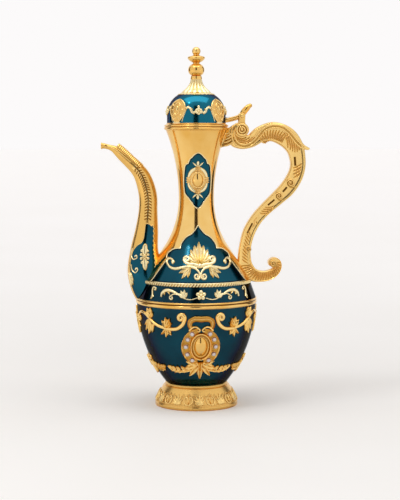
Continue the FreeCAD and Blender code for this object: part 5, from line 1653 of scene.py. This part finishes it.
# Medallions and swags on the lid
lidMedallion = {
    "height": 235.0,
    "side": [(0.0, 9.2), (1.9, 8.3), (3.9, 7.0), (5.7, 5.0), (6.9, 2.6), (7.2, 0.4), (6.6, -2.0),
        (5.4, -4.4), (3.9, -6.6), (2.6, -8.2), (2.2, -8.9)],
    "plate": (1.3, 0.6, 0.3, 0.5), "edge": (0.7, 1.1),
    "foot": [(3.5, -9.4), (3.6, -10.0), (1.8, -10.2)],
    "footPlate": (1.3, 0.9, 0.3, 0.8), "eye": (0.0, 1.2), "ring": (3.0, 4.6), "ringEdge": (0.5, 1.2),
    "boss": (0.6, 0.68, 1.3),
}
lidMedallionSide = {"fans": [{"at": at, "tall": 1.0, "section": roundSection,
    "leaves": [(heading, length, 0.8, 0)]}
    for at, heading, length in (((3.8, 3.2), 50, 2.6), ((4.0, 0.4), 4, 2.4),
        ((3.0, -3.0), -40, 2.8), ((1.2, -4.8), -68, 3.2))]}
lidMedallionLeaves = {"fans": [{"at": (7.0, 1.6), "tall": 0.8, "leaves": [(28, 3.0, 0.65, 0)]},
    {"at": (7.0, 0.6), "tall": 0.8, "leaves": [(-18, 2.2, 0.55, 0)]}]}
lidSwag = {"height": 234.8, "flower": ((0.0, -0.6), 2.9, 6, 1.0),
    "bud": ((0.0, 2.9), 1.1, 1.3, 0.9, 10)}
lidSwagSide = {
    "scrolls": [{"points": [(2.2, -0.4), (4.0, -1.8), (5.4, -0.8), (6.4, 1.4), (8.2, 2.4), (9.8, 1.4)],
        "half": swell(1.05, 0.6), "tall": 0.9}],
    "fans": [{"at": at, "tall": 0.8, "leaves": [(heading, 1.3, 0.6, 0)]}
        for at, heading in (((3.4, -2.0), -70), ((5.2, 0.4), 120), ((7.8, 2.6), 80))],
    "stem": [(9.8, 1.2), (11.0, -2.0), (12.4, -5.2), (13.4, -8.4)], "stemForm": (0.36, 0.5),
}


def makeLidRelief():
    shape, trim = newShape(), newShape()
    outline, foot = bothSides(smoothPath(lidMedallion["side"], 4)), bothSides(lidMedallion["foot"])
    eye, (wide, tall) = lidMedallion["eye"], lidMedallion["ring"]
    bossWide, bossTall, bossHigh = lidMedallion["boss"]
    for quarter in range(4):
        put = patchOn(domeFace, 45 + 90 * quarter, lidMedallion["height"])
        addField(shape, put, outline, *lidMedallion["plate"])
        addStroke(shape, put, outline, *lidMedallion["edge"], closed=True)
        addField(trim, put, foot, *lidMedallion["footPlate"])
        addStroke(shape, put, ellipsePath(eye, wide, tall, 32), *lidMedallion["ringEdge"], closed=True)
        addDome(shape, put, eye, wide * bossWide, tall * bossTall, bossHigh, 24, bowlRows)
        for hand in (1, -1):
            half = mirrored(put, hand)
            addWork(shape, half, lidMedallionSide)
            addWork(trim, half, lidMedallionLeaves)
    stem = smoothPath(lidSwagSide["stem"], 5)
    for quarter in range(4):
        put = patchOn(domeFace, 90 * quarter, lidSwag["height"])
        addRosette(trim, put, *lidSwag["flower"])
        addDome(trim, put, *lidSwag["bud"])
        for hand in (1, -1):
            half = mirrored(put, hand)
            addWork(trim, half, lidSwagSide)
            addStroke(trim, half, stem, *lidSwagSide["stemForm"])  # thin stem beside the medallion
    finishShape(shape, "lidRelief", softGold, "lid", ["lid_medallions"], 60)
    finishShape(trim, "lidTrim", paleGold, "lid", (), 60)


# Enamel root of the spout with its gold leaves, as (round the spout, height)
spoutRoot = {
    "left": [(-0.6, 146.2), (-1.9, 145.0), (-2.1, 140.0), (-2.3, 134.0), (-3.4, 130.6), (-7.2, 127.6),
        (-10.9, 123.4), (-13.0, 118.0), (-14.6, 111.0), (-16.0, 105.0), (-16.6, 99.0), (-16.8, 94.0),
        (-16.8, 91.0)],
    "right": [(5.8, 91.0), (5.6, 97.0), (6.2, 104.0), (7.6, 111.0), (8.0, 117.0), (7.2, 123.0),
        (6.4, 129.0), (5.5, 135.0), (4.8, 140.6), (4.3, 145.2), (2.9, 144.4), (1.4, 145.6)],
    "scallop": (3.7, 0.9), "scallopTop": 143, "field": (1.6, 0.12, 0.5, 0.36), "border": (0.35, 0.5),
    "heart": (-0.2, 120.0), "rosette": (2.0, 6, 1.4), "petals": [(5.4, 2.3, 5.0), (-5.4, 2.1, 5.2)],
    "petalTall": 0.9, "vein": (0.3, 0.7, 1.1, 1.5, 1.8), "veinHalf": 0.4, "veinTall": 1.25,
    "lobes": [(2.7, 1.6), (2.7, -1.4), (2.3, 4.6), (2.1, -4.4)], "lobe": (1.15, 1.25, 0.9, 12),
}
spoutSprays = {
    "scrolls": [{"points": points, "curl": (1.3, 0.75, 1, 0.5), "half": taper(0.45, 0.65), "tall": 0.9}
        for points in ([(-10.8, 125.8), (-12.2, 121.0), (-10.0, 118.0), (-7.0, 118.6)],
            [(-12.4, 114.2), (-11.6, 110.6), (-9.0, 108.6), (-6.8, 109.6)])],
    "fans": [{"at": (-15.8, 108.6), "tall": 1.0, "leaves": [(-30, 4.8, 1.3, -14), (-48, 6.8, 1.3, -14),
        (-66, 8.6, 1.3, -14), (-84, 9.0, 1.3, -14)]}],
}
# Braid up the side of the spout, then a groove, a rib and a nostril on the beak. Beak lines are
# (angle from the side, two lengths from the lip).
braid = {"from": 149.0, "to": 191.5, "margin": 0.6, "pitch": 2.3, "closer": 0.8, "closerFrom": 172,
    "lean": 56.0, "off": 1.5, "middle": -0.4, "half": 2.9, "proud": 0.12,
    "mark": (1.35, 0.62, 0.7, 0.2, 0.1)}
beak = {"groove": (18, 33.0, 9.0), "grooveForm": (0.35, 0.35), "rib": (6, 26.0, 4.0),
    "ribForm": (0.45, 0.5), "nostril": (0.4, 2.6), "hole": (0.6, 0.65, 0.3, 10), "rim": (0.9, 0.95, 14),
    "rimForm": (0.3, 0.45), "tone": 0.12}


def spoutSide(face):
    # The same skin, with up as the height of the middle line.
    rows, lengths, _ = spoutLine
    skin = spoutSkin(face)

    def put(across, up, proud):
        at = 0
        while at < len(rows) - 2 and rows[at + 1][1] < up:
            at += 1
        part = (up - rows[at][1]) / max(rows[at + 1][1] - rows[at][1], 1e-6)
        return skin(across, lengths[at] + (lengths[at + 1] - lengths[at]) * part, proud)
    return put


def spoutRootOutline():
    pitch, depth = spoutRoot["scallop"]
    right = [(across + depth * abs(sin(pi * up / pitch)) if up < spoutRoot["scallopTop"] else across, up)
        for across, up in smoothPath(spoutRoot["right"], 10)]
    left, low = smoothPath(spoutRoot["left"], 4), spoutRoot["right"][0]
    start, steps = left[-1][0], 12
    floor = [(start + (low[0] - start) * step / steps, low[1]) for step in range(1, steps)]
    return left + floor + right


def addSpoutFlower(shape, put):
    # Upright double flower with a vein in each petal, lobes at its sides and a rosette in its heart.
    x, z = spoutRoot["heart"]
    for off, wide, tall in spoutRoot["petals"]:
        addDome(shape, put, (x, z + off), wide, tall, spoutRoot["petalTall"], 20)
        vein = [(x, z + off * share) for share in spoutRoot["vein"]]
        addStroke(shape, put, vein, swell(spoutRoot["veinHalf"]), spoutRoot["veinTall"], paintedGrooveSection)
    for hand in (1, -1):
        for across, up in spoutRoot["lobes"]:
            addDome(shape, put, (x + hand * across, z + up), *spoutRoot["lobe"])
    addRosette(shape, put, (x, z), *spoutRoot["rosette"])


def addBraid(shape, put, marks):
    middle, low, high, steps = braid["middle"], braid["from"], braid["to"], 30
    line = [(middle, low + (high - low) * step / steps) for step in range(steps + 1)]
    addStroke(shape, put, line, braid["half"], braid["proud"], edgeSection)
    over = raisedBy(put, braid["proud"])
    for side in (1, -1):
        up = low + braid["margin"]
        while up < high - braid["margin"]:
            marks.append(placeOn(over, middle + side * braid["off"], up, 1.0, 90 + side * braid["lean"]))
            up += braid["pitch"] * (1 if up < braid["closerFrom"] else braid["closer"])


def addBeak(gold, bed, skin):
    end = spoutLine[1][-1]

    def beside(turn, first, last):
        # A line along the beak at a steady angle from its side.
        alongs = [end - first + (first - last) * step / 20 for step in range(21)]
        return [(radians(turn) * rowAt(spoutLine, along)[0][2], along) for along in alongs]
    addStroke(bed, skin, beside(*beak["groove"]), *beak["grooveForm"], paintedGrooveSection)
    addStroke(gold, skin, beside(*beak["rib"]), *beak["ribForm"])
    across, back = beak["nostril"]
    nostril = (across, end - back)
    addDome(bed, skin, nostril, *beak["hole"])
    addStroke(gold, skin, ellipsePath(nostril, *beak["rim"]), *beak["rimForm"], closed=True)


def makeSpoutRelief():
    gold, pale, bed, marks = newShape(), newShape(), newShape(), []
    outline = spoutRootOutline()
    for face, where in ((-1, "Front"), (1, "Back")):
        put = spoutSide(face)
        field = newShape()
        # The root's enamel field takes a low place on the painted-light ramp: painted shade.
        addField(field, put, outline, *spoutRoot["field"])
        finishShape(field, f"spoutEnamel{where}", enamel, "pot", (), 40)
        addStroke(gold, put, outline, *spoutRoot["border"], edgeSection, closed=True)
        addSpoutFlower(pale, put)
        addWork(pale, put, spoutSprays)
        addBraid(gold, put, marks)
        addBeak(gold, bed, spoutSkin(face))
    finishShape(gold, "spoutRelief", castGold, "pot", (), 60)
    finishShape(pale, "spoutFlowers", paleGold, "pot", (), 60)
    bed["paintedLight"] = [beak["tone"]] * len(bed["paintedLight"])  # painted shade all through
    finishShape(bed, "spoutGrooves", castGold, "pot", (), 60)
    mark = newShape()
    reach, half, ends, tall, under = braid["mark"]
    path = [(-reach, 0.0), (0.0, 0.0), (reach, 0.0)]
    # Each braid mark is painted darkest in its middle, as painted shade in the cut.
    addStroke(mark, onPaper, path, swell(half, ends), tall, paintedGrooveSection, under=under)
    addCopies(mark, marks, "spoutBraid", softGold, "pot")


# Foot relief: palmettes and hearts by turns, with granules between them and along the rim
footWork = {"units": 22, "middle": 8.6, "rimBeads": (4.0, 150, 0.9), "bead": (0.55, 0.5),
    "heartBeads": [(0.0, 3.9, 1.3), (-1.2, 3.1, 1.3), (1.2, 3.1, 1.3)],
    "gapBeads": [(0.0, 3.4, 1.1), (-0.9, 2.2, 1.1), (0.9, 2.2, 1.1), (0.0, 1.0, 1.1), (0.0, -5.0, 1.1)]}
footPalmette = {
    "fans": [{"at": (0.0, -4.4), "tall": 0.8, "section": roundSection,
        "leaves": [(heading, length, 1.05, (90 - heading) * 0.3)
            for heading, length in ((90, 8.4), (66, 7.6), (114, 7.6), (40, 6.0), (140, 6.0), (12, 4.2),
                (168, 4.2))]}],
    "knobs": [((0.0, -4.2), 1.2, 1.0, 1.0, 12)],
}
footHeart = {"scrolls": [{"points": [(0.2, -5.0), (2.4, -3.8), (3.4, -1.2), (2.6, 1.2)],
    "curl": (1.2, 0.9, 1, 0.4), "half": taper(0.75, 0.5), "tall": 0.8}]}
footBud = {"fans": [{"at": (0.0, -4.0), "tall": 0.8, "leaves": [(90, 6.6, 1.3, 0)]}]}


def makeFootRelief():
    shape, beads = newShape(), []
    units = footWork["units"]
    for at in range(units):
        put = patchOn(footFace, 360 * at / units, footWork["middle"])
        if at % 2 == 0:
            addWork(shape, put, footPalmette)
        else:
            addPair(shape, put, footHeart)
            addWork(shape, put, footBud)
            beads += [placeOn(put, *bead) for bead in footWork["heartBeads"]]
        between = patchOn(footFace, 360 * (at + 0.5) / units, footWork["middle"])
        beads += [placeOn(between, *bead) for bead in footWork["gapBeads"]]
    height, count, size = footWork["rimBeads"]
    put = patchOn(footFace, 0.0, height)
    girth = 2 * pi * footFace["radiusAt"](footFace["lengthAt"](height))
    beads += [placeOn(put, girth * at / count, 0.0, size) for at in range(count)]
    finishShape(shape, "footLeaves", castGold, "pot", (), 60)
    addCopies(granuleStamp(*footWork["bead"]), beads, "footGranules", castGold, "pot")


for make in (makeFields, makeNeckMedallions, makeShoulderRelief, makeBandRelief, makeBellyRelief,
        makeCartouches, makeLidRelief, makeSpoutRelief, makeFootRelief):
    make()
print("relief ready")


# CAD pieces that are kept as they are get their finish here
keptFinish = {"gold": goldPlate, "enamel": enamel, "crystal": crystal, "steel": steel}
for subpart in frame["record"]["subparts"]:
    node = frame["nodes"][subpart["node"]]
    for at in range(len(node.material_slots)):
        node.material_slots[at].material = keptFinish[subpart["material_slot"]]


# Studio, in metres and watts: pale floor, white room, soft boxes, dark cards for the metal to reflect
studio = {
    "floor": "#f2efeb", "floorLight": "#f7f5f2", "floorDrift": 3.0, "floorStops": (0.3, 0.7),
    "floorRoughness": 0.8, "floorSize": (30, 30), "floorLevel": -0.0002, "floorGlow": (0.09, 0.527),
    "glowReach": 0.8, "background": "#fcfafa", "roomLight": 0.45, "card": "#3a260e", "cardRoughness": 0.9,
    "aim": (0, 0, 0.14),
    "cards": {"cardFront": ((-0.15, -1.5, 0.85), (0.52, 1.7)),
        "cardLeft": ((-0.9, 0.5, 0.3), (0.4, 1.2)), "cardRight": ((0.9, 0.5, 0.3), (0.4, 1.2))},
    "boxes": {"boxTop": ((0.0, -0.1, 1.3), (1.3, 0.7), 5.5, True),
        "boxLeft": ((-1.1, -0.55, 0.6), (0.4, 0.9), 4, False),
        "boxRight": ((1.2, -0.6, 0.5), (0.3, 0.9), 2, False),
        "boxWindow": ((-0.47, -0.43, 1.18), (0.11, 0.11), 0.5, True)},
}
viewpoint = {"yaw": -4.8, "pitch": 4.9, "distance": 1116.0, "height": 219.7, "shiftX": 2.95,
    "lens": 100.8, "sensor": 36.0}


def addPlane(name, centre, size, facing, material, visibleToCamera=True):
    mesh = bpy.data.meshes.new(name)
    wide, tall = size[0] / 2, size[1] / 2
    turn = Vector(facing).to_track_quat("Z", "Y")
    corners = [Vector(centre) + turn @ Vector((x * wide, y * tall, 0))
        for x, y in ((-1, -1), (1, -1), (1, 1), (-1, 1))]
    mesh.from_pydata(corners, [], [(0, 1, 2, 3)])
    mesh.materials.append(material)
    plane = bpy.data.objects.new(name, mesh)
    bpy.context.scene.collection.objects.link(plane)
    plane.visible_camera = visibleToCamera
    plane.visible_diffuse = visibleToCamera
    plane.visible_shadow = visibleToCamera
    return plane


def backgroundRays(tree):
    # 1 for what the camera, the metal and the stones see of the room, 0 for the light it gives.
    path = addNode(tree, "ShaderNodeLightPath")
    straight = addNode(tree, "ShaderNodeMath", settings={"operation": "MAXIMUM"},
        links={0: path.outputs["Is Camera Ray"], 1: path.outputs["Is Transmission Ray"]})
    seen = addNode(tree, "ShaderNodeMath", settings={"operation": "MAXIMUM"},
        links={0: straight.outputs["Value"], 1: path.outputs["Is Glossy Ray"]})
    return seen.outputs["Value"]


def makeFloor():
    paint, tree, place = newMaterial("paleFloor")
    drift = addNode(tree, "ShaderNodeTexNoise", links={"Vector": place},
        values={"Scale": studio["floorDrift"]})
    colour = addNode(tree, "ShaderNodeValToRGB", links={"Fac": drift.outputs["Fac"]},
        stops=list(zip(studio["floorStops"], (studio["floor"], studio["floorLight"]))))
    # The floor glows more where the lamps reach it less, so it runs into the room without a line.
    near, far = studio["floorGlow"]
    away = addNode(tree, "ShaderNodeVectorMath", settings={"operation": "DOT_PRODUCT"},
        links={0: place, 1: place})
    spread = addNode(tree, "ShaderNodeMath", settings={"operation": "MULTIPLY_ADD"},
        values={1: 1 / studio["glowReach"] ** 2, 2: 1.0}, links={0: away.outputs["Value"]})
    lamplit = addNode(tree, "ShaderNodeMath", settings={"operation": "DIVIDE"}, values={0: far - near},
        links={1: spread.outputs["Value"]})
    rest = addNode(tree, "ShaderNodeMath", settings={"operation": "SUBTRACT"}, values={0: far},
        links={1: lamplit.outputs["Value"]})
    glow = addNode(tree, "ShaderNodeMath", settings={"operation": "MULTIPLY"},
        links={0: backgroundRays(tree), 1: rest.outputs["Value"]})
    setShader(tree, {"Roughness": studio["floorRoughness"],
        "Emission Color": hexColour(studio["background"])},
        {"Base Color": colour.outputs["Color"], "Emission Strength": glow.outputs["Value"]})
    addPlane("floor", (0, 0, studio["floorLevel"]), studio["floorSize"], (0, 0, 1), paint)


def makeCards():
    card, tree, _ = newMaterial("darkCard")
    setShader(tree, {"Base Color": hexColour(studio["card"]), "Roughness": studio["cardRoughness"]}, {})
    for name, (centre, size) in studio["cards"].items():
        addPlane(name, centre, size, (-centre[0], -centre[1], 0), card, False)


def makeRoom():
    world = bpy.data.worlds.new("whiteRoom")
    bpy.context.scene.world = world
    world.use_nodes = True
    tree = world.node_tree
    background = tree.nodes["Background"]
    strength = addNode(tree, "ShaderNodeMapRange",
        values={"To Min": studio["roomLight"], "To Max": 1.0}, links={"Value": backgroundRays(tree)})
    tree.links.new(strength.outputs["Result"], background.inputs["Strength"])
    background.inputs["Color"].default_value = hexColour(studio["background"])


def makeBoxes():
    for name, (centre, size, power, mirroredByMetal) in studio["boxes"].items():
        data = bpy.data.lights.new(name, "AREA")
        data.shape = "RECTANGLE"
        data.size, data.size_y = size
        data.energy = power
        lamp = bpy.data.objects.new(name, data)
        lamp.visible_glossy = mirroredByMetal  # the side boxes leave no streaks on the metal
        lamp.location = centre
        ahead = Vector(studio["aim"]) - Vector(centre)
        lamp.rotation_euler = ahead.to_track_quat("-Z", "Y").to_euler()
        bpy.context.scene.collection.objects.link(lamp)


def makeCamera():
    data = bpy.data.cameras.new("camera")
    data.lens = viewpoint["lens"]
    data.sensor_width = viewpoint["sensor"]
    camera = bpy.data.objects.new("camera", data)
    turn = radians(viewpoint["yaw"])
    x, y = viewpoint["shiftX"] * mm, -viewpoint["distance"] * mm
    camera.location = (x * cos(turn) - y * sin(turn), x * sin(turn) + y * cos(turn),
        viewpoint["height"] * mm)
    camera.rotation_euler = (radians(90 - viewpoint["pitch"]), 0, turn)
    bpy.context.scene.collection.objects.link(camera)
    bpy.context.scene.camera = camera


for make in (makeFloor, makeCards, makeRoom, makeBoxes, makeCamera):
    make()
bpy.context.scene.view_settings.view_transform = "Standard"
print("studio ready")
